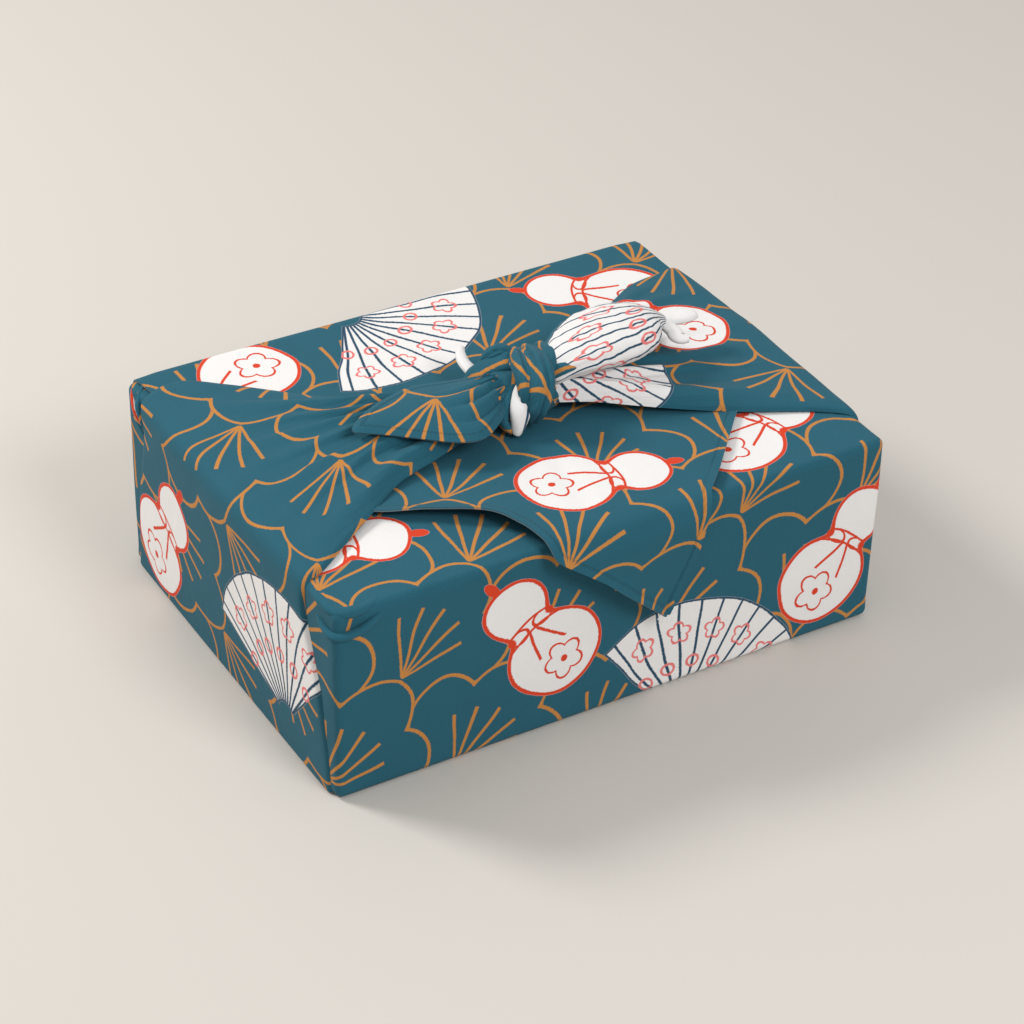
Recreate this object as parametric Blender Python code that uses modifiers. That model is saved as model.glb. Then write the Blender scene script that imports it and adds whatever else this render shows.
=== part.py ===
"""A gift box wrapped in one square of printed cotton, tied on top with a reef knot.

The cloth is one solid: the wrap round the box, the back corner brought over the top and hanging over
the front edge, the two side corners gathered up to the knot, and the knot's two tails.
The frame is the box's footprint centre on the surface it stands on: +X to the right along the long
side, +Y to the back, +Z up. Tables are in millimetres, everything else is in metres.
"""

import math
from collections import namedtuple

import bmesh
import bpy
from mathutils import Vector

MM = 0.001

# Driving dimensions
WRAP_LENGTH = 0.260
WRAP_DEPTH = 0.193
WRAP_HEIGHT = 0.0915
WRAP_EDGE_RADIUS = 0.0035
CLOTH_THICKNESS = 0.0018
BOX_GAP = 0.0004
CAVITY_EDGE_RADIUS = 0.0015
BOX_EDGE_RADIUS = 0.0055
FLAP_THICKNESS = 0.0018
SINK = 0.0006

# The gathered corners, from the foot of the side face, over the top edge, to the knot.
# Columns: the front and back fold edges, the way the cloth faces (degrees from straight up),
# the thickness at the folds, the crown between them, and how far the underside is lifted.
EarRow = namedtuple("EarRow", "fx fy fz bx by bz facing thick crown lift")
LEFT_EAR = (
    EarRow(-130.0, -91.0, 1.6, -130.0, 91.0, 1.6, 90, 1.0, 0.3, 0.0),
    EarRow(-130.0, -85.0, 40.0, -130.0, 86.0, 40.0, 90, 1.6, 1.0, 0.0),
    EarRow(-130.0, -72.0, 76.0, -130.0, 77.0, 76.0, 90, 2.0, 1.4, 0.0),
    EarRow(-128.6, -70.5, 90.2, -128.6, 80.0, 90.2, 45, 2.0, 1.2, 0.0),
    EarRow(-120.0, -67.5, 91.5, -112.0, 84.0, 91.5, 0, 2.2, 1.4, 0.0),
    EarRow(-104.0, -56.5, 91.5, -96.0, 72.0, 91.5, 0, 2.4, 2.2, 0.0),
    EarRow(-86.0, -45.0, 91.5, -83.0, 57.0, 91.5, 0, 2.8, 3.4, 0.0),
    EarRow(-67.5, -33.6, 91.8, -68.0, 41.0, 91.5, 0, 3.4, 4.8, 0.3),
    EarRow(-46.5, -27.5, 92.6, -48.0, 27.0, 91.8, 0, 4.0, 7.0, 1.0),
    EarRow(-28.0, -22.0, 94.4, -30.0, 14.0, 93.5, 0, 4.4, 9.0, 2.0),
    EarRow(-6.0, -17.0, 96.5, -8.0, 4.0, 96.0, 0, 4.6, 10.0, 2.0),
)
RIGHT_EAR = (
    EarRow(130.0, -91.0, 1.6, 130.0, 91.0, 1.6, 90, 1.0, 0.3, 0.0),
    EarRow(130.0, -87.0, 40.0, 130.0, 84.0, 40.0, 90, 1.6, 1.0, 0.0),
    EarRow(130.0, -78.0, 76.0, 130.0, 70.0, 76.0, 90, 2.0, 1.4, 0.0),
    EarRow(128.6, -75.5, 90.2, 128.6, 66.5, 90.2, 45, 2.0, 1.2, 0.0),
    EarRow(120.0, -68.0, 91.5, 118.0, 64.0, 91.5, 0, 2.4, 1.2, 0.0),
    EarRow(103.0, -59.0, 91.5, 101.0, 60.0, 91.5, 0, 3.0, 1.8, 0.0),
    EarRow(85.0, -51.0, 91.5, 85.0, 50.0, 91.5, 0, 3.8, 2.6, 0.0),
    EarRow(63.0, -41.5, 91.8, 66.0, 37.0, 91.5, 0, 4.8, 3.6, 0.3),
    EarRow(45.0, -33.0, 92.6, 48.0, 25.0, 91.8, 0, 5.4, 5.0, 1.0),
    EarRow(28.0, -24.0, 94.4, 30.0, 14.0, 93.5, 0, 6.0, 6.5, 2.0),
    EarRow(8.0, -15.0, 96.5, 10.0, 4.0, 96.0, 0, 6.0, 8.0, 2.0),
)

# The pleats that run out from the knot across each gathered corner.
# Columns: where across the corner (0 at the front fold, 1 at the back fold), half width in the same
# measure, height at the knot, and how far down the corner it starts (0 at the foot, 1 at the knot).
Pleat = namedtuple("Pleat", "across half_width height start")
LEFT_PLEATS = (
    Pleat(0.10, 0.09, 3.4, 0.42),
    Pleat(0.30, 0.08, 2.6, 0.50),
    Pleat(0.46, 0.07, 3.0, 0.40),
    Pleat(0.62, 0.07, 2.2, 0.52),
    Pleat(0.80, 0.09, 2.8, 0.46),
)
RIGHT_PLEATS = (
    Pleat(0.10, 0.11, 5.0, 0.36),
    Pleat(0.36, 0.07, 2.0, 0.48),
    Pleat(0.54, 0.08, 2.8, 0.38),
    Pleat(0.72, 0.07, 2.2, 0.42),
    Pleat(0.88, 0.07, 2.6, 0.34),
)

# The back corner, from the back edge over the top and down the front, as a sheet.
# Columns: left and right hem edges, the height and depth of the sheet's middle, how far the left and
# right hems stand up or off, and how much the middle stands off.
FlapRow = namedtuple("FlapRow", "left right y z left_off right_off crown")
FLAP = (
    FlapRow(-124.0, 126.0, 93.0, 91.0, 0.0, 0.0, 0.0),
    FlapRow(-118.0, 122.0, 20.0, 91.2, 0.0, 0.0, 0.3),
    FlapRow(-88.0, 92.0, -45.0, 91.3, 1.0, 0.0, 0.6),
    FlapRow(-66.0, 79.0, -57.0, 91.4, 3.6, 0.0, 0.9),
    FlapRow(-47.0, 67.0, -70.0, 91.5, 5.2, 0.2, 1.2),
    FlapRow(-41.0, 54.0, -84.0, 91.6, 5.2, 0.4, 1.5),
    FlapRow(-38.0, 43.0, -95.0, 91.6, 4.4, 0.8, 1.8),
    FlapRow(-34.5, 38.0, -101.0, 88.6, 2.6, 0.6, 1.8),
    FlapRow(-24.0, 35.4, -101.6, 81.0, 2.0, 0.8, 1.6),
    FlapRow(-12.8, 33.0, -101.0, 72.1, 1.6, 0.8, 1.4),
    FlapRow(-2.9, 28.8, -100.2, 62.7, 1.2, 0.8, 1.0),
    FlapRow(8.0, 24.0, -99.4, 53.0, 1.0, 0.8, 0.6),
    FlapRow(17.4, 20.4, -98.8, 44.2, 0.8, 0.8, 0.2),
)

# Strands and bands of the knot. Each is a loft of oval sections along a path.
# Columns: a point of the path, and the width and height of the section.
StrandRow = namedtuple("StrandRow", "x y z width height")
KNOT_BAND = (
    StrandRow(13.5, 12.0, 98.0, 11.0, 8.0),
    StrandRow(14.0, 7.4, 110.0, 12.0, 8.5),
    StrandRow(11.5, -4.0, 116.0, 13.0, 9.0),
    StrandRow(7.5, -15.0, 117.5, 13.0, 9.5),
    StrandRow(4.5, -23.0, 114.5, 12.5, 9.0),
    StrandRow(2.0, -24.5, 107.0, 11.5, 8.5),
    StrandRow(1.5, -20.0, 99.0, 9.0, 7.0),
)
KNOT_SECOND_BAND = (
    StrandRow(11.0, 13.0, 103.0, 8.0, 7.0),
    StrandRow(10.5, 7.0, 112.0, 9.0, 7.5),
    StrandRow(5.2, -5.0, 116.5, 9.5, 8.0),
    StrandRow(1.5, -15.0, 116.5, 9.0, 8.0),
    StrandRow(-0.5, -20.5, 111.0, 8.0, 7.0),
    StrandRow(-1.0, -20.0, 104.0, 6.0, 6.0),
)
KNOT_LEFT_LOBE = (
    StrandRow(-13.0, 8.0, 100.0, 9.0, 7.0),
    StrandRow(-8.5, 9.0, 107.0, 13.0, 8.0),
    StrandRow(-3.0, 6.0, 111.5, 15.0, 8.5),
    StrandRow(3.5, 1.5, 113.0, 14.0, 8.0),
    StrandRow(9.0, -3.0, 111.0, 12.0, 7.5),
)
KNOT_RIGHT_LOBE = (
    StrandRow(23.0, 9.0, 106.0, 9.0, 7.0),
    StrandRow(22.0, 6.0, 112.5, 11.0, 8.5),
    StrandRow(18.5, -3.5, 116.5, 11.5, 9.0),
    StrandRow(13.0, -11.5, 115.5, 10.0, 8.0),
    StrandRow(9.0, -13.5, 110.0, 8.0, 7.0),
)
KNOT_RIGHT_LEAF = (
    StrandRow(13.0, -11.5, 110.0, 7.0, 6.0),
    StrandRow(20.0, -10.5, 112.0, 11.0, 6.5),
    StrandRow(27.0, -10.5, 111.0, 10.0, 5.5),
    StrandRow(32.5, -14.5, 107.5, 4.0, 3.5),
)
KNOT_LENS_RIM = (
    StrandRow(4.0, -6.0, 108.0, 5.0, 5.0),
    StrandRow(-1.0, -9.0, 106.5, 5.0, 5.5),
    StrandRow(-6.5, -13.0, 103.0, 5.0, 6.0),
    StrandRow(-9.5, -17.0, 98.5, 5.0, 6.0),
    StrandRow(-7.0, -20.0, 95.0, 4.0, 5.0),
)
KNOT_LENS = (
    StrandRow(3.5, -10.0, 108.0, 6.0, 6.0),
    StrandRow(0.5, -14.5, 106.5, 8.5, 8.0),
    StrandRow(-2.5, -18.5, 102.0, 9.0, 8.5),
    StrandRow(-5.5, -21.5, 97.0, 6.0, 6.0),
    StrandRow(-7.0, -22.0, 94.0, 3.0, 4.0),
)
KNOT_CORE_CENTRE = (5.0, -6.0, 103.0)
KNOT_CORE_RADII = (21.0, 15.5, 12.0)

# The left tail, a leaf that lies back over its own gathered corner.
# Columns: distance out to the left, its lower and upper edges, its height, crown and edge droop.
TailRow = namedtuple("TailRow", "x low high z crown droop")
LEFT_TAIL = (
    TailRow(4.0, -14.0, 1.0, 106.0, 4.0, 1.0),
    TailRow(-7.0, -20.5, 4.5, 107.5, 4.5, 2.5),
    TailRow(-18.0, -28.5, 5.0, 107.5, 4.5, 4.0),
    TailRow(-29.0, -33.5, 7.0, 107.2, 4.5, 4.0),
    TailRow(-39.0, -31.0, 9.5, 107.0, 4.0, 3.5),
    TailRow(-52.0, -21.5, 7.0, 106.5, 3.2, 2.5),
    TailRow(-61.0, -14.0, 4.0, 106.5, 2.4, 1.5),
    TailRow(-69.0, -8.5, 0.0, 106.5, 1.4, 0.8),
    TailRow(-73.0, -7.0, -3.0, 106.5, 0.6, 0.4),
)
TAIL_THICKNESS = 0.0024

# The right tail, puffed up like a pod, with a narrow neck and a curled tip.
RIGHT_TAIL = (
    StrandRow(13.0, -11.0, 110.5, 13.0, 9.0),
    StrandRow(20.0, -10.0, 113.0, 19.0, 12.0),
    StrandRow(28.0, -8.0, 114.5, 28.0, 15.0),
    StrandRow(38.0, -5.0, 115.0, 36.0, 17.5),
    StrandRow(50.0, -2.5, 115.0, 40.0, 18.5),
    StrandRow(61.0, 0.0, 114.5, 37.0, 17.5),
    StrandRow(70.0, 1.5, 113.5, 27.0, 14.0),
    StrandRow(76.0, 1.5, 112.5, 14.0, 9.0),
    StrandRow(79.5, 0.3, 112.0, 6.0, 5.5),
    StrandRow(84.0, 0.0, 111.5, 6.0, 4.5),
    StrandRow(91.0, 0.4, 111.5, 8.0, 4.0),
    StrandRow(96.5, 0.8, 111.0, 4.5, 3.0),
)
RIGHT_TAIL_CURL = (
    StrandRow(79.0, -0.5, 111.5, 5.0, 4.5),
    StrandRow(81.0, -6.0, 110.0, 7.0, 4.0),
    StrandRow(80.5, -11.0, 109.5, 7.0, 3.6),
    StrandRow(84.5, -13.5, 109.0, 3.0, 2.6),
)
BACK_TAIL_TIP = (
    StrandRow(-3.0, 6.0, 103.0, 6.0, 5.0),
    StrandRow(-5.8, 12.5, 105.0, 9.0, 3.6),
    StrandRow(-4.5, 20.0, 106.0, 8.0, 3.2),
    StrandRow(-3.0, 29.5, 105.0, 2.5, 2.4),
)

# Raised folds on the wrap: the tucks that meet at the back left corner, the lip of the pocket at the
# front left corner, and the tucks that run up from the bottom corners of the side faces.
FoldRow = namedtuple("FoldRow", "x y z width")
FOLDS = {
    "corner_tuck_low": (
        FoldRow(-130.6, 77.0, 78.0, 1.6), FoldRow(-130.6, 86.0, 84.0, 3.0), FoldRow(-128.8, 93.0, 89.6, 2.0),
    ),
    "corner_tuck_high": (
        FoldRow(-130.6, 77.0, 80.0, 1.6), FoldRow(-130.4, 83.0, 87.5, 3.0), FoldRow(-124.0, 90.0, 91.7, 2.0),
    ),
    "pocket_lip": (
        FoldRow(-130.2, -80.0, 83.0, 2.0), FoldRow(-130.2, -92.0, 84.0, 4.4),
        FoldRow(-124.5, -96.8, 84.6, 4.8), FoldRow(-114.0, -96.6, 88.0, 3.4),
        FoldRow(-104.0, -94.6, 91.6, 1.6),
    ),
}

# The pocket under the left gathered corner, open into the wrap through its slot.
POCKET_CENTRE = (-121.0, -95.8, 88.4)
POCKET_RADII = (6.0, 3.0, 1.2)

# Steps across and along each loft.
EAR_ACROSS = 22
EAR_ALONG = 26
FLAP_ACROSS = 12
FLAP_ALONG = 24
TAIL_ACROSS = 10
TAIL_ALONG = 14
STRAND_SIDES = 12
STRAND_STEPS = 14
FOLD_SIDES = 6
FOLD_STEPS = 8

# How the gathered corners' thickness falls at their fold edges, and how flat their crown is.
FOLD_EDGE_SHARE = 0.35
FOLD_EDGE_POWER = 6
CROWN_POWER = 0.7

# Where the back corner turns from the top to the front, as depths in the table's millimetres.
TURN_FROM = -94.0
TURN_TO = -101.0
PATH_STEP = 0.02

# A strand whose path starts nearly upright takes the long side of the box as its first sideways.
UPRIGHT_BELOW = 0.3

TEAL = (0.030, 0.105, 0.140, 1.0)
CARD = (0.55, 0.40, 0.25, 1.0)


def clear_scene():
    for obj in list(bpy.data.objects):
        bpy.data.objects.remove(obj, do_unlink=True)


def material(name, colour, roughness):
    made = bpy.data.materials.new(name)
    made.use_nodes = True
    shader = made.node_tree.nodes["Principled BSDF"]
    shader.inputs["Base Color"].default_value = colour
    shader.inputs["Roughness"].default_value = roughness
    shader.inputs["Metallic"].default_value = 0.0
    return made


def new_collection(name):
    made = bpy.data.collections.new(name)
    bpy.context.scene.collection.children.link(made)
    return made


def new_object(name, bm, collection):
    """The bmesh as an object of its own, with its faces pointing out."""
    bmesh.ops.recalc_face_normals(bm, faces=bm.faces)
    mesh = bpy.data.meshes.new(name)
    bm.to_mesh(mesh)
    bm.free()
    obj = bpy.data.objects.new(name, mesh)
    collection.objects.link(obj)
    return obj


def hide_helper(obj):
    obj.hide_render = True
    obj.display_type = "WIRE"


def box_object(name, size, base_z, radius, segments, collection):
    """A box standing on base_z, centred on the frame, with rounded edges."""
    bm = bmesh.new()
    bmesh.ops.create_cube(bm, size=1.0)
    bmesh.ops.scale(bm, vec=size, verts=bm.verts)
    bmesh.ops.translate(bm, vec=(0, 0, base_z + size[2] / 2), verts=bm.verts)
    obj = new_object(name, bm, collection)
    bevel = obj.modifiers.new("rounded edges", "BEVEL")
    bevel.width = radius
    bevel.segments = segments
    bevel.limit_method = "NONE"
    return obj


def ellipsoid_object(name, centre, radii, collection, segments=20, rings=10):
    bm = bmesh.new()
    bmesh.ops.create_uvsphere(bm, u_segments=segments, v_segments=rings, radius=1.0)
    bmesh.ops.scale(bm, vec=Vector(radii) * MM, verts=bm.verts)
    bmesh.ops.translate(bm, vec=Vector(centre) * MM, verts=bm.verts)
    return new_object(name, bm, collection)


def along(rows, s):
    """The table's row at s, from 0 to 1, on a smooth curve through its rows."""
    place = s * (len(rows) - 1)
    i = min(int(place), len(rows) - 2)
    t = place - i
    before, here = rows[max(i - 1, 0)], rows[i]
    there, after = rows[i + 1], rows[min(i + 2, len(rows) - 1)]
    values = []
    for a, b, c, d in zip(before, here, there, after):
        slope_in, slope_out = (c - a) / 2, (d - b) / 2
        values.append(
            (2 * t**3 - 3 * t**2 + 1) * b
            + (t**3 - 2 * t**2 + t) * slope_in
            + (3 * t**2 - 2 * t**3) * c
            + (t**3 - t**2) * slope_out
        )
    return type(rows[0])(*values)


def smooth_step(low, high, value):
    t = min(max((value - low) / (high - low), 0.0), 1.0)
    return t * t * (3 - 2 * t)


def loft(name, rings, collection):
    """A closed solid through rings of the same number of points, capped at both ends."""
    bm = bmesh.new()
    made = [[bm.verts.new(point) for point in ring] for ring in rings]
    count = len(made[0])
    for first, second in zip(made, made[1:]):
        for i in range(count):
            j = (i + 1) % count
            bm.faces.new((first[i], first[j], second[j], second[i]))
    bm.faces.new(made[0])
    bm.faces.new(reversed(made[-1]))
    return new_object(name, bm, collection)


def slab(name, uppers, lowers, collection):
    """A closed solid between an upper and a lower grid of points, with flat strips round its rim."""
    bm = bmesh.new()
    top = [[bm.verts.new(point) for point in row] for row in uppers]
    under = [[bm.verts.new(point) for point in row] for row in lowers]
    for grid in (top, under):
        for first, second in zip(grid, grid[1:]):
            for i in range(len(first) - 1):
                bm.faces.new((first[i], second[i], second[i + 1], first[i + 1]))
    edges = [(top[0], under[0]), (top[-1], under[-1])]
    edges += [([row[side] for row in top], [row[side] for row in under]) for side in (0, -1)]
    for over, below in edges:
        for i in range(len(over) - 1):
            bm.faces.new((over[i], over[i + 1], below[i + 1], below[i]))
    return new_object(name, bm, collection)


def sheet(name, rows_of_points, thickness, collection):
    """An open grid of points made a sheet of even thickness, its first side up."""
    bm = bmesh.new()
    made = [[bm.verts.new(point) for point in row] for row in rows_of_points]
    for first, second in zip(made, made[1:]):
        for i in range(len(first) - 1):
            bm.faces.new((first[i], second[i], second[i + 1], first[i + 1]))
    obj = new_object(name, bm, collection)
    solidify = obj.modifiers.new("cloth thickness", "SOLIDIFY")
    solidify.thickness = thickness
    solidify.offset = 0.0
    solidify.use_even_offset = True
    return obj


def ear(name, rows, pleats, collection):
    """A side corner of the cloth, gathered from its whole face to the knot."""
    uppers, lowers = [], []
    for n in range(EAR_ALONG + 1):
        s = n / EAR_ALONG
        row = along(rows, s)
        side = math.copysign(1.0, row.fx)
        angle = math.radians(row.facing)
        out = Vector((side * math.sin(angle), 0, math.cos(angle)))
        front = Vector((row.fx, row.fy, row.fz))
        back = Vector((row.bx, row.by, row.bz))
        upper, lower = [], []
        for k in range(EAR_ACROSS + 1):
            t = k / EAR_ACROSS
            rounded = (1 - abs(2 * t - 1) ** FOLD_EDGE_POWER) ** 0.5
            height = row.thick * (FOLD_EDGE_SHARE + (1 - FOLD_EDGE_SHARE) * rounded)
            height += row.crown * math.sin(math.pi * t) ** CROWN_POWER
            for pleat in pleats:
                near = smooth_step(pleat.start, 1.0, s)
                bump = max(0.0, 1 - ((t - pleat.across) / pleat.half_width) ** 2)
                height += pleat.height * near * bump
            upper.append((front.lerp(back, t) + out * height) * MM)
            lower.append((front.lerp(back, t) + out * (row.lift - SINK / MM)) * MM)
        uppers.append(upper)
        lowers.append(lower)
    return slab(name, uppers, lowers, collection)


def flap(name, rows, collection):
    """The back corner over the top and down the front, its hems standing a little off."""
    grid = []
    for n in range(FLAP_ALONG + 1):
        row = along(rows, n / FLAP_ALONG)
        hanging = smooth_step(TURN_FROM, TURN_TO, row.y)
        off_way = Vector((0, -hanging, 1 - hanging))
        points = []
        for k in range(FLAP_ACROSS + 1):
            t = k / FLAP_ACROSS
            x = row.left + (row.right - row.left) * t
            off = row.left_off * (1 - t) ** 3 + row.right_off * t**3
            off += row.crown * math.sin(math.pi * t)
            points.append((Vector((x, row.y, row.z)) + off_way * off) * MM)
        grid.append(points)
    return sheet(name, grid, FLAP_THICKNESS, collection)


def strand(name, rows, collection, steps=STRAND_STEPS, sides=STRAND_SIDES, ridges=0, ridge_depth=0.0):
    """A strand or band of gathered cloth: oval sections square to its path, ridged where it says."""
    rings = []
    across = Vector((1, 0, 0))
    for n in range(steps + 1):
        s = n / steps
        row = along(rows, s)
        ahead = along(rows, min(s + PATH_STEP, 1.0))
        behind = along(rows, max(s - PATH_STEP, 0.0))
        way = Vector((ahead.x - behind.x, ahead.y - behind.y, ahead.z - behind.z)).normalized()
        if n == 0:
            across = way.cross(Vector((0, 0, 1)))
            if across.length < UPRIGHT_BELOW:
                across = Vector((1, 0, 0))
        across = (across - way * across.dot(way)).normalized()
        up = across.cross(way)
        centre = Vector((row.x, row.y, row.z))
        ring = []
        for k in range(sides):
            angle = 2 * math.pi * k / sides
            swell = 1 + ridge_depth * math.cos(ridges * angle)
            point = centre + across * (row.width / 2 * math.cos(angle) * swell)
            point += up * (row.height / 2 * math.sin(angle) * swell)
            ring.append(point * MM)
        rings.append(ring)
    return loft(name, rings, collection)


def fold(name, rows, collection):
    """A raised fold, half sunk into the cloth that it is part of."""
    sections = [StrandRow(row.x, row.y, row.z, row.width, row.width) for row in rows]
    return strand(name, sections, collection, steps=FOLD_STEPS, sides=FOLD_SIDES)


def leaf_tail(name, rows, collection):
    """The flat tail: a leaf-shaped sheet, crowned, with its edges curled down."""
    grid = []
    for n in range(TAIL_ALONG + 1):
        row = along(rows, n / TAIL_ALONG)
        points = []
        for k in range(TAIL_ACROSS + 1):
            t = k / TAIL_ACROSS
            y = row.low + (row.high - row.low) * t
            z = row.z + row.crown * math.sin(math.pi * t) - row.droop * (1 - t) ** 3
            points.append(Vector((row.x, y, z)) * MM)
        grid.append(points)
    return sheet(name, grid, TAIL_THICKNESS, collection)


def combine(target, other, operation, solver="EXACT"):
    cut = target.modifiers.new(f"{operation.lower()} {other.name}", "BOOLEAN")
    cut.operation = operation
    cut.object = other
    cut.solver = solver
    hide_helper(other)


def cloth(parts, helpers):
    """The one-piece cloth, its hollow filled by the box and open through the corner pocket."""
    body = box_object(
        "cloth", (WRAP_LENGTH, WRAP_DEPTH, WRAP_HEIGHT), 0.0, WRAP_EDGE_RADIUS, 3, parts
    )
    layers = [
        flap("back_corner", FLAP, helpers),
        ear("left_ear", LEFT_EAR, LEFT_PLEATS, helpers),
        ear("right_ear", RIGHT_EAR, RIGHT_PLEATS, helpers),
    ]
    layers += [fold(name, rows, helpers) for name, rows in FOLDS.items()]
    for piece in layers:
        combine(body, piece, "UNION")
    knot = [
        ellipsoid_object("knot_core", KNOT_CORE_CENTRE, KNOT_CORE_RADII, helpers),
        strand("knot_band", KNOT_BAND, helpers, sides=18, ridges=6, ridge_depth=0.06),
        strand("knot_second_band", KNOT_SECOND_BAND, helpers, sides=12, ridges=4, ridge_depth=0.06),
        strand("knot_left_lobe", KNOT_LEFT_LOBE, helpers),
        strand("knot_right_lobe", KNOT_RIGHT_LOBE, helpers),
        strand("knot_right_leaf", KNOT_RIGHT_LEAF, helpers, steps=10, sides=10),
        strand("knot_lens_rim", KNOT_LENS_RIM, helpers, steps=10, sides=10),
        strand("knot_lens", KNOT_LENS, helpers),
        leaf_tail("left_tail", LEFT_TAIL, helpers),
        strand("right_tail", RIGHT_TAIL, helpers, steps=22, sides=16),
        strand("right_tail_curl", RIGHT_TAIL_CURL, helpers, steps=8, sides=8),
        strand("back_tail_tip", BACK_TAIL_TIP, helpers, steps=8, sides=8),
    ]
    for piece in knot:
        combine(body, piece, "UNION", "MANIFOLD")
    cavity_size = [side - 2 * CLOTH_THICKNESS for side in (WRAP_LENGTH, WRAP_DEPTH, WRAP_HEIGHT)]
    cavity = box_object("cavity", cavity_size, CLOTH_THICKNESS, CAVITY_EDGE_RADIUS, 2, helpers)
    combine(body, cavity, "DIFFERENCE")
    pocket = ellipsoid_object("pocket", POCKET_CENTRE, POCKET_RADII, helpers, 16, 8)
    combine(body, pocket, "DIFFERENCE")
    body.data.materials.append(material("printed_cotton", TEAL, 0.85))
    return body


def gift_box(parts):
    """The plain closed box that the cloth fits round, clear of it all over."""
    clear = CLOTH_THICKNESS + BOX_GAP
    size = [side - 2 * clear for side in (WRAP_LENGTH, WRAP_DEPTH, WRAP_HEIGHT)]
    box = box_object("gift_box", size, clear, BOX_EDGE_RADIUS, 3, parts)
    box.data.materials.append(material("board", CARD, 0.8))
    return box


def main():
    clear_scene()
    parts = new_collection("furoshiki wrap")
    helpers = new_collection("helpers")
    cloth(parts, helpers)
    gift_box(parts)


main()
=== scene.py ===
"""The looks of a furoshiki wrap on a gift box: one square of printed cotton, folded and tied on top.

The cloth is laid as fine sheets on the frame's solids, each point carrying its place on the flat
cloth, so that the print runs over edges and into the gathers. Tables of shapes are in millimetres,
everything else is in metres: +X to the right along the long side, +Y to the back, +Z up.
"""

import math
from collections import namedtuple

import bpy
import numpy as np
from mathutils import Matrix, Vector, noise

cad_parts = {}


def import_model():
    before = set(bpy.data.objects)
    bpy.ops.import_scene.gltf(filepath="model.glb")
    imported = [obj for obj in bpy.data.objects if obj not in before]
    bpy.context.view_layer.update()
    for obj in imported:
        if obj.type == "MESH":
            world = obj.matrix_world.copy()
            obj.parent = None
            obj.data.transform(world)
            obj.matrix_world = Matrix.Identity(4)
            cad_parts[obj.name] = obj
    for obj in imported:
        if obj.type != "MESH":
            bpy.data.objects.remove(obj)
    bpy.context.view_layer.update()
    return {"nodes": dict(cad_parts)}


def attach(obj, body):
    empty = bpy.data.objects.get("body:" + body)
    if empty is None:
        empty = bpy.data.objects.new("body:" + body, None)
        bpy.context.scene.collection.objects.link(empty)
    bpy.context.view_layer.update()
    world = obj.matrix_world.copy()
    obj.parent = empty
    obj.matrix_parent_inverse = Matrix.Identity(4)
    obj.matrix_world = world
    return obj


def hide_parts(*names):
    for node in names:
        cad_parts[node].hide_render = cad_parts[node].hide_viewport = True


MM = 0.001


def table(kind, *rows):
    """Rows of numbers as named tuples of one kind."""
    return tuple(kind(*row) for row in rows)


SEED_STEP = (7.3, 3.1, 5.7)

# Slow unevenness of a sheet. Columns: how long its waves are in metres, their height in the unit of
# what it is added to, and the number of their pattern.
Wave = namedtuple("Wave", "length height seed")

# The cloth and the box it covers, and how finely its sheets are divided
WRAP_LENGTH = 0.260
WRAP_DEPTH = 0.193
WRAP_HEIGHT = 0.0915
WRAP_RADIUS = 0.0036
CELL = 0.0032
EDGE_STEPS = 5
WRAP_WAVES = table(Wave, (0.055, 0.5, 1), (0.021, 0.16, 2))
WRAP_SINK = 0.0003
WRAP_FOOT = 0.008
SHARP_EDGE = math.radians(62)
HEM_WIDTH = 0.0037
HEM_STEP = 0.0006
NO_HEM = 0.5

# The photograph's camera, and the light round it
CAMERA_LENS = 106.2
CAMERA_SENSOR = 36.0
CAMERA_AZIMUTH = math.radians(-31.14)
CAMERA_ELEVATION = math.radians(34.59)
CAMERA_ROLL = math.radians(1.39)
CAMERA_DISTANCE = 1.374
CAMERA_TARGET = Vector((0.0338, 0.046, 0.0))

# Gathered side corners, from the foot of the side face, over the top edge, to the knot.
# Columns: the front and back folds, the way the cloth faces (degrees from straight up), the
# thickness at the folds, the crown between them, and how far the underside is lifted.
EarRow = namedtuple("EarRow", "fx fy fz bx by bz facing thick crown lift")
LEFT_EAR = table(
    EarRow,
    (-130.2, -91, 0.8, -130.2, 91, 0.8, 90, 0.8, 0.2, -0.6),
    (-130.2, -85, 40, -130.2, 86, 40, 90, 1.3, 0.8, -0.6),
    (-130.2, -72, 76, -130.2, 77, 76, 90, 1.8, 1.2, -0.6),
    (-128.8, -70.5, 90.4, -128.8, 80, 90.4, 45, 1.9, 1.1, -0.4),
    (-120, -67.5, 91.7, -112, 84, 91.7, 0, 2.2, 1.2, 0),
    (-104, -56.5, 91.7, -96, 72, 91.7, 0, 3.2, 1.6, 0.8),
    (-86, -45, 91.7, -83, 57, 91.7, 0, 4.8, 2.4, 2.6),
    (-67.5, -33.6, 92.2, -68, 41, 91.7, 0, 6, 3, 3.8),
    (-46.5, -27.5, 93, -48, 27, 91.9, 0, 6.8, 3.6, 4.6),
    (-28, -22, 94.6, -30, 14, 93.6, 0, 6.8, 4.6, 4.6),
    (-6, -17, 96.5, -8, 4, 96, 0, 6.8, 7.4, 4),
)
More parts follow.
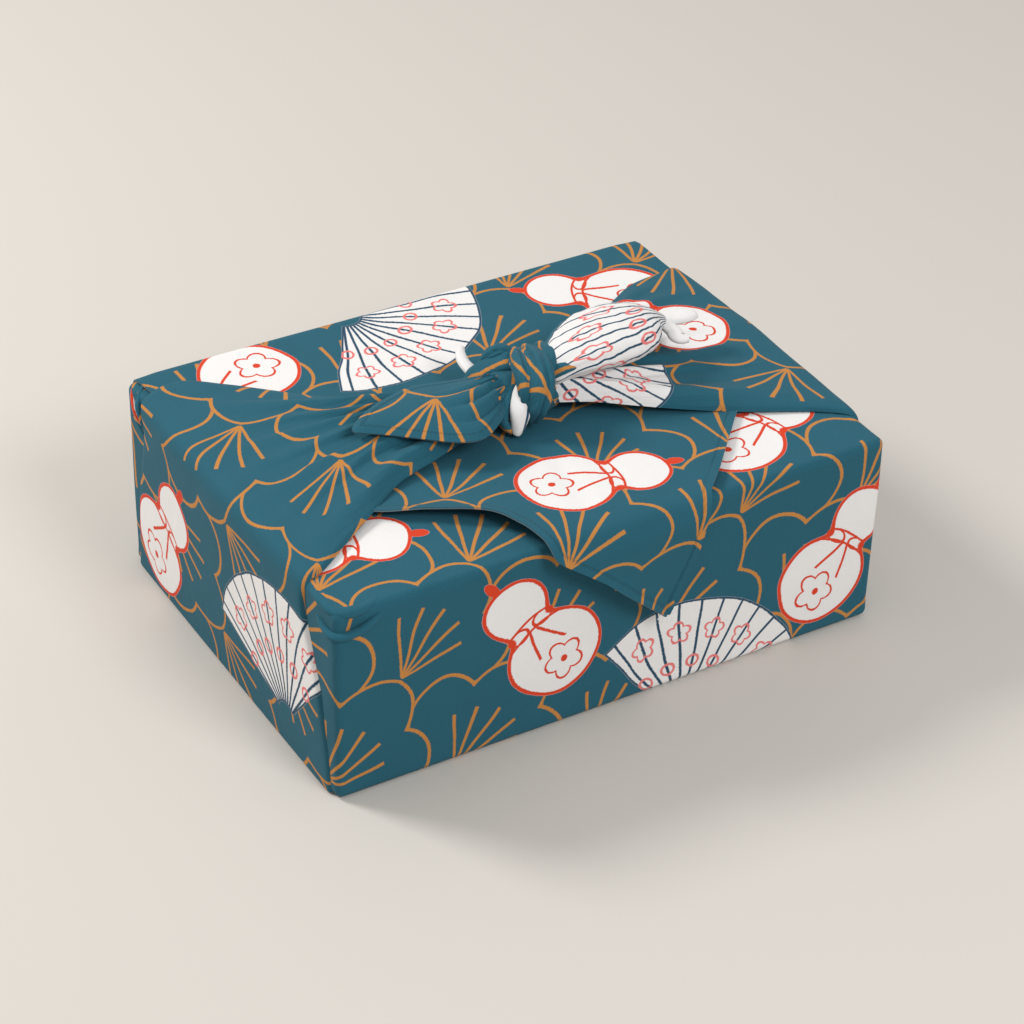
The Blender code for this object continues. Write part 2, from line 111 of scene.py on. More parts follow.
RIGHT_EAR = table(
    EarRow,
    (130.2, -91, 0.8, 130.2, 91, 0.8, 90, 0.8, 0.2, -0.6),
    (130.2, -87, 40, 130.2, 84, 40, 90, 1.3, 0.8, -0.6),
    (130.2, -78, 76, 130.2, 70, 76, 90, 1.8, 1.2, -0.6),
    (128.8, -75.5, 90.4, 128.8, 66.5, 90.4, 45, 1.9, 1.1, -0.4),
    (120, -68, 91.7, 118, 64, 91.7, 0, 2.3, 1.1, 0),
    (103, -59, 91.7, 101, 60, 91.7, 0, 3.2, 1.5, 0.6),
    (85, -51, 91.7, 85, 50, 91.7, 0, 4.4, 2, 1.4),
    (63, -41.5, 92.2, 66, 37, 91.7, 0, 6.6, 2.8, 3.6),
    (45, -33, 93.4, 48, 25, 91.9, 0, 8, 3.2, 5),
    (28, -24, 95, 30, 14, 93.6, 0, 8.6, 4.4, 5.4),
    (8, -15, 96.5, 10, 4, 96, 0, 7.6, 6.6, 4.2),
)

# Pleats of the gathered corners. Columns: place across the corner, reach to the front and to the
# back in the same measure, height at the knot, and how far up the corner each starts.
Pleat = namedtuple("Pleat", "across front_reach back_reach height start")
LEFT_PLEATS = table(
    Pleat,
    (0.10, 0.07, 0.10, 3.8, 0.30),
    (0.24, 0.025, 0.08, 3.6, 0.34),
    (0.36, 0.08, 0.025, 4, 0.26),
    (0.48, 0.025, 0.07, 3.6, 0.32),
    (0.59, 0.07, 0.025, 3.8, 0.28),
    (0.70, 0.025, 0.06, 3.2, 0.36),
    (0.82, 0.07, 0.04, 3.6, 0.32),
)
RIGHT_PLEATS = table(
    Pleat,
    (0.10, 0.10, 0.09, 5, 0.34),
    (0.30, 0.025, 0.07, 3.4, 0.34),
    (0.43, 0.07, 0.025, 3.8, 0.30),
    (0.56, 0.025, 0.08, 3.8, 0.26),
    (0.69, 0.07, 0.025, 3.4, 0.30),
    (0.82, 0.03, 0.06, 3.6, 0.26),
    (0.92, 0.04, 0.04, 2.8, 0.32),
)
PLEAT_FULL = 0.88
PLEAT_BEND = 0.02
PLEAT_BENDS = 9.0
PLEAT_PHASE = 20
PLEAT_SWELL = 0.9
EAR_ALONG = 100
EAR_ACROSS = 90
EAR_UNDER = 5
EAR_TURN = 0.16
EAR_CROWD = 0.45
FOLD_SQUARE = 0.6
FOLD_POWERS = (3.0, 60.0)
CROWN_POWER = 0.7
EAR_WAVES = table(Wave, (0.030, 0.5, 0), (0.012, 0.22, 1))
SLACK_START = (0.02, 0.2)
GATHERED = (0.30, 0.95)
GATHER_START = (0.5, 0.9)
GATHER_SLANT = 2.0
GATHER_HEIGHT = 0.75
GATHER_PITCH = 27.0
GATHER_POWER = 0.7
GATHER_SWAY = Wave(0.035, 2.2, 2)
EAR_SPREAD = 0.5

# The back corner of the cloth, over the top and down the front.
# Columns: left and right hems, the sheet's depth and height, how far the left and right hems stand
# off, and how much the middle stands off.
FlapRow = namedtuple("FlapRow", "left right y z left_off right_off crown")
FLAP = table(
    FlapRow,
    (-126, 126, 92.7, 92.1, 0, 0, 0),
    (-122, 125, 60, 92.1, 0, 0, 0.1),
    (-115, 118, 20, 92.2, 0, 0, 0.3),
    (-102, 104, -15, 92.3, 0.2, 0, 0.5),
    (-88, 92, -42, 92.4, 1.2, 0, 0.6),
    (-67, 80, -56, 92.4, 3.6, 0.1, 0.9),
    (-48, 67, -70, 92.5, 5.4, 0.2, 1.2),
    (-41, 54, -84, 92.5, 5.6, 0.4, 1.5),
    (-38, 43, -95, 92.3, 4.6, 0.8, 1.8),
    (-34.5, 38, -100.8, 88.9, 3.8, 0.7, 1.9),
    (-24, 35.4, -101.8, 81, 3.8, 0.8, 1.8),
    (-12.8, 33, -101.8, 72.1, 4, 0.8, 1.6),
    (-2.9, 28.8, -101.8, 62.7, 4, 1, 1.2),
    (8, 24, -101.8, 53, 3.6, 1.4, 0.8),
    (17.4, 20.4, -101.8, 44.2, 2.6, 1.8, 0.3),
)
FLAP_ALONG = 128
FLAP_ACROSS = 76
FLAP_BACK = 18
FLAP_BENDS = 6
FLAP_HALF = 126.0
FLAP_CLEAR = 0.6
FLAP_TAPER = 0.04
FLAP_FOOT = 0.02
FLAP_OVER_EDGE = (-94.0, -101.0)
FLAP_THICKNESS = 0.0009
FLAP_WAVE = Wave(0.048, 0.0005, 3)
FLAP_CALM_ROWS = 60
FLAP_HEM_START = 12
FLAP_HEM_RISE = 0.00035

# Creases pressed into a sheet, as troughs or ridges. Columns: the two ends, width and depth.
Crease = namedtuple("Crease", "x1 y1 z1 x2 y2 z2 width depth")
FLAP_CREASES = table(
    Crease,
    (2, -34, 92, -14, -96, 92, 5, 1.1),
    (-10, -40, 92, -31, -86, 92, 4, 0.9),
    (16, -38, 92, 13, -90, 92, 6, 0.7),
    (30, -46, 92, 52, -72, 92, 5, 0.5),
    (-16, -98, 86, 14, -100, 54, 3.5, 0.6),
    (8, -100, 90, 20, -100, 62, 3, -0.5),
    (-24, -92, 92, -6, -101, 80, 2.4, 0.6),
    (-8, -93, 92, 6, -101, 82, 2.2, -0.5),
    (60, 40, 92, 100, 74, 92, 5, 0.4),
    (-20, 42, 92, -60, 88, 92, 6, 0.4),
    (20, 30, 92, 34, 84, 92, 7, 0.3),
)
WRAP_CREASES = table(
    Crease,
    (-40, -95, 91, 6, -96.5, 52, 5, 0.5),
    (-126, -96, 70, -96, -96.5, 30, 6, 0.4),
    (60, -70, 91, 122, -92, 91, 4, 0.5),
    (74, -62, 91, 126, -78, 91, 3.5, -0.4),
    (50, -86, 91, 80, -96.5, 60, 6, 0.4),
    (126, -96, 84, 104, -96.5, 40, 5, 0.4),
    (-128, -94, 84, -130, -84, 10, 4, -0.5),
    (120, -60, 91, 128, -92, 89, 3, 0.4),
)
CREASE_ENDS = (0.02, 0.98)

# The knot's strands and bands, the right tail, and small folds, as ovals along a path.
# Columns: a point of the path, and the section's width and height.
StrandRow = namedtuple("StrandRow", "x y z width height")
KNOT_BAND = table(
    StrandRow,
    (13.5, 12, 98, 9, 8),
    (14, 7.4, 110, 9.5, 8),
    (11.8, -4, 115.8, 10, 8.5),
    (8.3, -15, 117.6, 10.5, 9),
    (5, -23, 114.8, 10.5, 9),
    (2.2, -24.8, 107, 9.5, 8.5),
    (1.5, -20, 99, 8, 7),
)
KNOT_SECOND_BAND = table(
    StrandRow,
    (11, 13, 103, 6, 6),
    (9.5, 7, 112, 6.5, 6.5),
    (4, -5.5, 117, 7, 7),
    (0.4, -15.5, 117, 6.5, 7),
    (-1.2, -20.8, 111.5, 6, 6.5),
    (-1, -20, 104, 5, 5),
)
KNOT_LEFT_LOBE = table(
    StrandRow,
    (-13, 6.5, 98, 8, 6),
    (-8.8, 7.4, 104, 10.5, 7),
    (-3.6, 4.8, 108.8, 12, 7.5),
    (2, 0.8, 111.6, 12, 7.5),
    (8, -4, 110.8, 10, 7),
)
KNOT_RIGHT_LOBE = table(
    StrandRow,
    (24, 10, 104, 7, 6),
    (22.8, 7, 111, 8.5, 7),
    (19, -4.4, 115.8, 8.5, 7.5),
    (14, -12.5, 115.6, 8, 7),
    (10, -14.5, 110.5, 6.5, 6),
)
KNOT_RIGHT_LEAF = table(
    StrandRow,
    (13, -13.5, 111.5, 6, 5),
    (19.5, -14, 115, 10, 5.5),
    (26, -14.5, 115, 9, 4.6),
    (32, -18.5, 110.5, 3, 2.6),
)
KNOT_LENS_RIM = table(
    StrandRow,
    (3, -8, 110, 4, 4.5),
    (-2.4, -11.6, 109, 4.4, 5),
    (-8, -16, 105, 4.4, 5.4),
    (-11, -20, 100, 4.4, 5.4),
    (-8, -23, 96, 3.4, 4.4),
)
KNOT_LENS = table(
    StrandRow,
    (3.2, -12, 110, 5, 5),
    (-0.6, -16.8, 109, 8, 7.5),
    (-3.8, -21.4, 104.4, 9, 8),
    (-6.6, -24.4, 99, 6, 6),
    (-8, -25, 95.5, 3, 4),
)
KNOT_FRILL = table(
    StrandRow,
    (-4, 10.5, 109, 5, 5),
    (-0.5, 9.5, 114.5, 6.5, 4.5),
    (3.5, 7, 116.5, 6, 4),
    (6, 4, 115, 3.5, 3),
)
KNOT_CORE = table(
    StrandRow,
    (-14, -6, 103, 13, 10),
    (-8, -6, 103, 22, 17),
    (5, -6, 103, 28, 21),
    (18, -6, 103, 22, 17),
    (24, -6, 103, 13, 10),
)
RIGHT_TAIL = table(
    StrandRow,
    (13, -11, 110.5, 13, 9),
    (20, -10, 113, 19, 12),
    (28, -8, 114.5, 28, 15),
    (38, -5, 115, 36, 17.5),
    (50, -2.5, 115, 40, 18.5),
    (61, 0, 114.5, 37, 17.5),
    (70, 1.5, 113.5, 27, 14),
    (76.5, 1.2, 112.6, 13, 8.5),
    (81, 0.3, 112, 5, 4),
)
RIGHT_TAIL_TIP = table(
    StrandRow,
    (76, 1, 112.2, 7, 6),
    (80.5, 0.2, 112, 5.5, 5),
    (85, 0, 111.6, 6.5, 4.4),
    (91, 0.4, 111.5, 8.4, 4),
    (96.5, 0.8, 111, 5.5, 3),
)
RIGHT_TAIL_CURL = table(
    StrandRow,
    (79, -0.5, 111.5, 5, 4.5),
    (81, -6, 110, 7, 4),
    (80.5, -11, 109.5, 7, 3.6),
    (84.5, -13.5, 109, 3, 2.6),
)
BACK_TAIL_TIP = table(
    StrandRow,
    (-2.5, 5, 103, 5, 4.5),
    (-6.5, 11, 105, 7, 3.4),
    (-8, 19, 106.8, 5.6, 3),
    (-5.6, 26.5, 107, 4.2, 2.6),
    (-2, 31.5, 106, 2.4, 2),
)
CORNER_TUCK_LOW = table(
    StrandRow,
    (-130.6, 72, 72, 1.6, 1.6),
    (-130.9, 84, 82, 3, 3),
    (-128.9, 93, 89.6, 2, 2),
)
CORNER_TUCK_HIGH = table(
    StrandRow,
    (-130.6, 72, 76, 1.6, 1.6),
    (-130.6, 82, 87, 3, 3),
    (-124, 90, 92, 2, 2),
)
POCKET_LIP = table(
    StrandRow,
    (-127, -74, 83, 1, 1),
    (-130, -85, 82, 2.8, 2.6),
    (-129.6, -94.6, 81.2, 4.2, 3.2),
    (-121.5, -97.6, 82.2, 4.2, 3.2),
    (-112, -96.6, 85.6, 2.8, 2.6),
    (-103, -92, 88.4, 1, 1),
)
POCKET_FOLD = table(
    StrandRow,
    (-127, -66, 88.6, 1, 1),
    (-128.4, -80, 89.8, 4, 3.6),
    (-126.6, -91.4, 89.6, 5.4, 4.4),
    (-119, -94.2, 89.8, 5.4, 4.2),
    (-109, -92, 90.4, 3.4, 2.2),
    (-99, -88, 90.2, 1, 1),
)

# Loose threads at the hanging tip, each from its root to its end. Columns: root, end and thickness.
Thread = namedtuple("Thread", "x1 y1 z1 x2 y2 z2 thick")
THREADS = table(
    Thread,
    (15.6, -103.6, 46.2, 13.2, -104.6, 44.4, 0.34),
    (17.2, -103.8, 44.8, 15, -105, 42, 0.30),
    (18.6, -103.6, 44.4, 18.2, -105, 41.4, 0.34),
    (19.6, -103.4, 44.4, 21, -104.6, 42, 0.28),
    (20.4, -103.2, 45.2, 23, -104, 43.8, 0.30),
)
THREAD_SAG = (0.0, -0.5, 0.3)

# The left tail, a flat leaf lying back over its own gathered corner.
# Columns: distance out to the left, its lower and upper edges, its height, crown and edge droop.
TailRow = namedtuple("TailRow", "x low high z crown droop")
LEFT_TAIL = table(
    TailRow,
    (6, -8, 2, 106.5, 3, 1),
    (-6, -14.5, 4.5, 106.8, 3.6, 3),
    (-16, -24.5, 5.5, 107.4, 4.2, 3.6),
    (-28, -33, 7.5, 108, 4.6, 3.8),
    (-39, -31.5, 9.5, 108, 4.2, 3.2),
    (-52, -22, 7.5, 107.4, 3.2, 2.2),
    (-61.5, -14.5, 4, 107, 2.2, 1.5),
    (-69, -9.4, -0.6, 106.6, 1.2, 0.8),
    (-74, -7, -4.8, 106.4, 0.3, 0.2),
)
TAIL_ALONG = 60
TAIL_ACROSS = 48
TAIL_THICKNESS = 0.0010
TAIL_HEM_RISE = 0.0003
TAIL_NECK = (0.10, 0.62)
TAIL_GATHER = (0.1, 0.6)
TAIL_PLEAT = 3.6
TAIL_PLEAT_PITCH = 15.5
TAIL_PLEAT_SLANT = 0.12
TAIL_PLEAT_SWAY = 0.8
TAIL_PLEAT_SWAYS = 5
TAIL_PLEAT_POWER = 0.75
TAIL_PLEAT_SPREAD = 1.4
TAIL_FADE_POWERS = (0.8, 0.4)
TAIL_WAVE = Wave(0.014, 0.7, 11)
TAIL_PLACE = (-0.470, 0.014)
TAIL_STRETCH = 1.05

# The hollow between the pocket's fold and its lip
POCKET_HOLLOW = (-124.0, -95.0, 87.0)
POCKET_WAY = (0.62, 0.62, -0.48)
POCKET_REACH = 0.0052
POCKET_DEPTH = 0.0016

# Strands: how far along a path its way is measured, how much of the length the rounded ends take,
# the shape of the lengthwise folds, and the unevenness that a strand's roughness scales
PATH_STEP = 0.02
SIDEWAYS_LEAST = 0.3
END_SHARE = 0.05
END_LEAST = 0.03
FOLD_POWER = 0.85
FINE_FOLDS = 3
FINE_TWIST = 0.7
FOLD_SHARES = (1.3, 0.7)
ROUGH_WAVES = table(Wave, (0.006, 1, 0), (0.0028, 0.6, 1))

# The print, in its own upright frame, turned on the cloth. Lengths in metres, angles in radians.
PRINT_TILT = math.radians(38)
PRINT_START = (-0.1151, 0.0827)
PINE_COLUMN = 0.0555
PINE_ROW = 0.0587
PINE_REACH = 0.0578
PINE_FALL = 0.0083
PINE_LOBE = math.radians(52)
PINE_LOBE_DEPTH = 0.0105
LINE = 0.0016
RAY_STEP = math.radians(19.5)
RAY_LENGTH = 0.0325
RAY_SHORTER = -0.0009
RAY_HALF = 0.36
RAY_WIDENS = 0.008
RAY_SIDE = 2.0
EDGE_STEEPER = 0.42
PRINT_SOFT = 0.00035

# The white motifs' centres on the flat cloth, and the way each points (degrees from +a towards +b)
Motif = namedtuple("Motif", "a b turn")
FANS = table(
    Motif,
    (326, -52.5, 238),
    (430, 0, 180),
    (-178, -46, 165),
    (-8, 216, 60),
    (44, -108, -70),
    (60, 128, 120),
    (172, 40, 20),
    (-60, 20, 200),
)
GOURDS = table(
    Motif,
    (-38, -145, -125),
    (110, -134, -55),
    (-164, 58, 215),
    (4, 350, 10),
    (-92, 214, 150),
    (86, 222, 215),
    (262, 26, 60),
    (84, -218, -20),
    (-60, 140, 70),
    (168, -50, 130),
    (30, 20, 30),
    (-110, -230, 20),
)
# Parts of a gourd: how far up it from its middle each is and its radius, then sides and line widths
Round = namedtuple("Round", "up radius")
GOURD_SCALE = 1.05
GOURD_LOW = Round(-0.012, 0.021)
GOURD_HIGH = Round(0.019, 0.0140)
GOURD_BLEND = 0.010
STEM = Round(0.0355, 0.0042)
STEM_SIDE = 0.002
STEM_NARROW = 1.8
CORD_UP = 0.0085
CORD_BOW = 16.0
CORD_APART = 0.0024
FINE_LINE = 0.00055
LOOP = Round(0.0075, 0.0046)
LOOP_SIDE = 0.0062
LOOP_FLAT = 1.7
CORD_LINE = 0.0007
ENDS_SIDE = 0.0022
ENDS_UP = 0.004
ENDS_SLANT = 0.35
ENDS_LOW = 0.0015
ENDS_LENGTH = 0.0075
BLOSSOM = Round(-0.018, 0.0062)
BLOSSOM_PETAL = 0.0030
BLOSSOM_HEART = 0.0016
HALF_PETALS = 2.5

# Parts of a fan: radii, angles, ribs and the blossoms in its cover
FAN_INNER = 0.008
FAN_OUTER = 0.062
FAN_HALF = math.radians(58)
FAN_RIB = math.radians(10.5)
FAN_DROP = 0.036
FAN_RIB_LINE = 0.00065
FAN_BORDER = 0.0005
FAN_BLOSSOM = Round(0.0470, 0.0034)
FAN_PETAL = 0.0018
FAN_BUD = Round(0.0310, 0.0028)
FAN_LINE = 0.0006
TAIL_FAN = FANS[1]
TIP_GOURD = GOURDS[0]
OUTLINE = 0.0016

# Scallops of the print, clear of the white motifs, that the knot's folds take their print from.
# Columns: the scallop's column and row, and how far up it the fold's middle is.
Scallop = namedtuple("Scallop", "column row up")
KNOT_SCALLOPS = table(
    Scallop,
    (-4, -1, 0.046),
    (-4, 0, 0.047),
    (-4, -2, 0.046),
    (-3, -1, 0.046),
    (-3, -2, 0.048),
    (-4, 1, 0.043),
    (-5, 0, 0.047),
    (-5, -1, 0.046),
)

# The knot's folds, in the order of their scallops. Columns: path, rings and sides, how much of the
# flat print goes along and round it, its lengthwise folds, their depth and twist, pattern, roughness.
Fold = namedtuple("Fold", "path steps sides reach spread ridges depth twist seed rough")
KNOT_FOLDS = table(
    Fold,
    (KNOT_CORE, 24, 40, 0.8, 0.8, 9, 0.05, 0, 0, 0.04),
    (KNOT_LEFT_LOBE, 40, 40, 0.9, 0.9, 5, 0.19, -0.9, 1, 0.10),
    (KNOT_RIGHT_LOBE, 36, 36, 0.9, 0.9, 5, 0.12, 0.8, 2, 0.06),
    (KNOT_RIGHT_LEAF, 26, 28, 1, 1, 3, 0.12, 0, 3, 0.06),
    (KNOT_SECOND_BAND, 48, 40, 0.9, 1, 4, 0.17, 1.3, 4, 0.05),
    (KNOT_BAND, 60, 60, 0.9, 1, 6, 0.19, 1.5, 5, 0.04),
    (KNOT_LENS_RIM, 30, 26, 1, 1, 3, 0.10, 0, 6, 0.04),
    (KNOT_FRILL, 26, 24, 1, 1, 4, 0.16, 0, 8, 0.25),
)

# The tails' white ends, printed from a gourd. Columns: path, how far up the gourd, the print's turn,
# rings, how much of the flat print goes along and round it, pattern.
Tip = namedtuple("Tip", "path up turn steps share seed")
TIP_UP = 0.020
WHITE_TIPS = table(
    Tip,
    (RIGHT_TAIL_TIP, TIP_UP, 0.4, 24, 0.6, 10),
    (RIGHT_TAIL_CURL, TIP_UP, 0.4, 24, 0.6, 11),
    (BACK_TAIL_TIP, 0.018, 1.2, 28, 0.5, 12),
)

# The small tucks at the back left corner, each with its print's place and the way that runs
TUCKS = ((CORNER_TUCK_LOW, (-0.14, -0.22)), (CORNER_TUCK_HIGH, (-0.15, -0.20)))
TUCK_TURN = 0.6
POCKET_SCALLOP = 3

# Colours of the print, in scene-linear light
TEAL = (0.0180, 0.101, 0.144, 1.0)
GOLD = (0.560, 0.235, 0.055, 1.0)
WHITE = (0.800, 0.790, 0.780, 1.0)
VERMILION = (0.640, 0.050, 0.016, 1.0)
NAVY = (0.020, 0.065, 0.115, 1.0)
CORAL = (0.740, 0.190, 0.180, 1.0)
REVERSE = (0.270, 0.320, 0.345, 1.0)
REVERSE_SHARE = 0.5
# The stitching's darker thread, and painted shade along the hem's fold line, both multiplied over the cloth
STITCH_TINT_AND_FOLD_SHADE = (0.25, 0.3, 0.34, 1.0)
TEAL_DARK = (0.82, 0.82, 0.82)
TEAL_LIGHT = (1.22, 1.22, 1.22)
GOLD_THIN = (0.80, 0.80, 0.80)
WHITE_CREAM = (0.95, 0.93, 0.92)

# Unevenness of the printed cloth. Columns: how fine it is, how much detail, and how much it counts.
Grain = namedtuple("Grain", "scale detail share")
SWAY_ALONG = Grain(17.0, 2.0, 0.010)
SWAY_ACROSS = Grain(15.0, 2.0, 0.010)
BLEED = Grain(900.0, 3.0, 0.0007)
CLOUD = Grain(30.0, 4.0, 0.35)
FINE = Grain(1400.0, 2.0, 0.5)
PULLS = Grain(1.0, 3.0, 0.0022)
PULL_SQUEEZE = (14.0, 170.0, 1.0)
WRINKLES = Grain(120.0, 3.0, 0.00035)
SLUBS = Grain(700.0, 2.0, 0.00012)
WEAVE_PITCH = 0.00052
WEAVE_HEIGHT = 0.00003
HEM_HEIGHT = 0.0002
HEM_SOFT = 0.0004
# Half-width of the painted shade line along the hem's fold
HEM_FOLD_SHADE_LINE = 0.00018
STITCH_IN = 0.0006
STITCH_LINE = 0.00022
STITCH_PITCH = 0.0026
STITCH_SHARE = 0.00072
STITCH_SOFT = 0.0001
STITCH_DEPTH = 0.0002
# How much the stitching's thread darkens the cloth, and how much painted shade the hem's fold line gets
STITCH_TINT_AND_FOLD_SHADE_SHARES = (0.35, 0.4)
COTTON = {"Roughness": 0.82, "Specular IOR Level": 0.14, "Sheen Weight": 0.04, "Sheen Roughness": 0.5}
COTTON_BUMP = 0.75

# The box's board and the floor
BOARD_COLOURS = ((0.42, 0.31, 0.20, 1.0), (0.52, 0.40, 0.27, 1.0))
BOARD_FIBRES = Grain(260.0, 5.0, 0.0002)
BOARD_ROUGHNESS = 0.85
BOARD_BUMP = 0.3
FLOOR_SIZE = 12.0
FLOOR_DROP = 0.0002
FLOOR_COLOUR = (0.60, 0.565, 0.52, 1.0)
FLOOR_ROUGHNESS = 0.7

# The lights. Columns: name, place, size across, power and colour.
Light = namedtuple("Light", "name place size power colour")
LIGHTS = table(
    Light,
    ("key", (-0.85, 0.95, 1.15), 0.5, 18.0, (1.0, 0.985, 0.96)),
    ("fill", (0.2, -1.25, 1.2), 0.6, 11.5, (0.96, 0.98, 1.0)),
)
LIGHT_TARGET = Vector((0, 0, 0.05))
SKY_COLOUR = (1.0, 0.99, 0.975, 1.0)
SKY_STRENGTH = 0.60


def along(rows, s):
    """The table's row at s, from 0 to 1, on a smooth curve through its rows."""
    place = s * (len(rows) - 1)
    i = min(int(place), len(rows) - 2)
    t = place - i
    before, here = rows[max(i - 1, 0)], rows[i]
    there, after = rows[i + 1], rows[min(i + 2, len(rows) - 1)]
    values = []
    for a, b, c, d in zip(before, here, there, after):
        slope_in, slope_out = (c - a) / 2, (d - b) / 2
        values.append(
            (2 * t**3 - 3 * t**2 + 1) * b
            + (t**3 - 2 * t**2 + t) * slope_in
            + (3 * t**2 - 2 * t**3) * c
            + (t**3 - t**2) * slope_out
        )
    return type(rows[0])(*values)


def smooth_step(low, high, value):
    t = min(max((value - low) / (high - low), 0.0), 1.0)
    return t * t * (3 - 2 * t)


def uneven(point, length, seed):
    """Smooth unevenness, about -1 to 1, at a point in metres, the same every run."""
    return noise.noise(Vector(point) / length + Vector([seed * step for step in SEED_STEP]))


def wavy(point, waves, seed=0):
    """The height of some waves together at a point."""
    return sum(uneven(point, wave.length, wave.seed + seed) * wave.height for wave in waves)


class Patch:
    """One stretch of the cloth: its points, faces, places on the flat cloth, hems, gathers and reverse."""

    def __init__(self, points, faces, flat, hem=None, gather=0.0, corner_flat=None, under=0.0):
        self.points = np.asarray(points, float)
        self.faces = faces
        self.flat = np.asarray(flat, float)
        count = len(self.points)
        self.hem = np.full(count, NO_HEM) if hem is None else np.asarray(hem, float)
        self.gather = np.broadcast_to(np.asarray(gather, float), (count,))
        self.under = np.broadcast_to(np.asarray(under, float), (count,))
        self.corner_flat = corner_flat


def join_patches(name, patches):
    """All patches as one mesh object."""
    points = np.concatenate([patch.points for patch in patches])
    faces, flats, start = [], [], 0
    for patch in patches:
        faces += [tuple(start + i for i in face) for face in patch.faces]
        if patch.corner_flat is None:
            corners = np.fromiter((i for face in patch.faces for i in face), int)
            flats.append(patch.flat[corners])
        else:
            flats.append(np.asarray(patch.corner_flat, float))
        start += len(patch.points)
    mesh = bpy.data.meshes.new(name)
    mesh.from_pydata(points.tolist(), [], faces)
    layer = mesh.uv_layers.new(name="flat")
    layer.data.foreach_set("uv", np.concatenate(flats).astype(np.float32).ravel())
    for label in ("hem", "gather", "under"):
        values = np.concatenate([getattr(patch, label) for patch in patches])
        mesh.attributes.new(label, "FLOAT", "POINT").data.foreach_set("value", values.astype(np.float32))
    mesh.shade_smooth()
    mesh.set_sharp_from_angle(angle=SHARP_EDGE)
    obj = bpy.data.objects.new(name, mesh)
    bpy.context.scene.collection.objects.link(obj)
    return obj


def grid_faces(rows, columns, wrap=False, flip=False):
    """The faces of a grid of points stored row by row; wrap joins its last column to its first."""
    faces = []
    for i in range(rows - 1):
        for j in range(columns if wrap else columns - 1):
            k = (j + 1) % columns
            face = (i * columns + j, (i + 1) * columns + j, (i + 1) * columns + k, i * columns + k)
            faces.append(face[::-1] if flip else face)
    return faces


def normals_of(grid):
    """Unit normals of a grid of points, along its rows crossed with across its columns."""
    normal = np.cross(np.gradient(grid, axis=1), np.gradient(grid, axis=0))
    return normal / np.maximum(np.linalg.norm(normal, axis=2, keepdims=True), 1e-12)


def distance_to(points, marks):
    """Each point's distance to the nearest of a few marks."""
    return np.linalg.norm(points[:, None, :] - marks[None, :, :], axis=2).min(axis=1)


def press(points, normals, creases):
    """Moves points along their normals into the creases, as soft troughs or ridges."""
    moved = points.copy()
    for crease in creases:
        first = np.array((crease.x1, crease.y1, crease.z1)) * MM
        second = np.array((crease.x2, crease.y2, crease.z2)) * MM
        way = second - first
        t = np.clip((points - first) @ way / (way @ way), 0, 1)
        gap = np.linalg.norm(points - first - t[..., None] * way, axis=-1)
        fade = np.sin(np.pi * np.clip(t, *CREASE_ENDS)) ** 0.5
        shape = np.exp(-((gap / (crease.width * MM)) ** 2))
        moved -= normals * (crease.depth * MM * shape * fade)[..., None]
    return moved


def slab_patch(upper, thickness, flat, hem, gather=0.0, flip=False):
    """A grid of points made a thin sheet with a rim; flip turns it the other way up."""
    lower = upper - normals_of(upper) * thickness * (-1 if flip else 1)
    rows, columns = upper.shape[:2]
    count = rows * columns
    faces = grid_faces(rows, columns, flip=not flip)
    faces += [tuple(i + count for i in face[::-1]) for face in faces]
    rim = [i * columns for i in range(rows)]
    rim += [(rows - 1) * columns + j for j in range(1, columns)]
    rim += [i * columns + columns - 1 for i in range(rows - 2, -1, -1)]
    rim += range(columns - 2, 0, -1)
    for i, first in enumerate(rim):
        second = rim[(i + 1) % len(rim)]
        face = (first, second, second + count, first + count)
        faces.append(face if not flip else face[::-1])
    points = np.concatenate([upper.reshape(-1, 3), lower.reshape(-1, 3)])
    flat = np.concatenate([flat.reshape(-1, 2)] * 2)
    hem = np.concatenate([hem.ravel()] * 2)
    gather = np.concatenate([np.broadcast_to(gather, (rows, columns)).ravel()] * 2)
    return Patch(points, faces, flat, hem, gather, under=np.repeat((1.0, 0.0), count))


def doubled(hem):
    """1 where the cloth is doubled by its hem, 0 inside it, by the distance to its edge."""
    return np.clip((HEM_WIDTH - hem) / HEM_STEP + 0.5, 0, 1)


def edge_lines(half, radius, cell):
    """Places along one side of a box, closer together round its edges."""
    inner = half - radius
    bends = [inner + radius * math.tan(math.radians(45) * i / EDGE_STEPS) for i in range(EDGE_STEPS + 1)]
    middle = np.linspace(-inner, inner, max(2, round(2 * inner / cell)) + 1)
    return np.array([-b for b in bends[::-1]] + list(middle[1:-1]) + bends)


def flat_length(place, half, radius):
    """How far round the cloth a place on a box's side lies, counted from the side's middle."""
    inner = half - radius
    extra = abs(place) - inner
    if extra <= 0:
        return place
    return math.copysign(inner + radius * math.atan2(extra, radius), place)


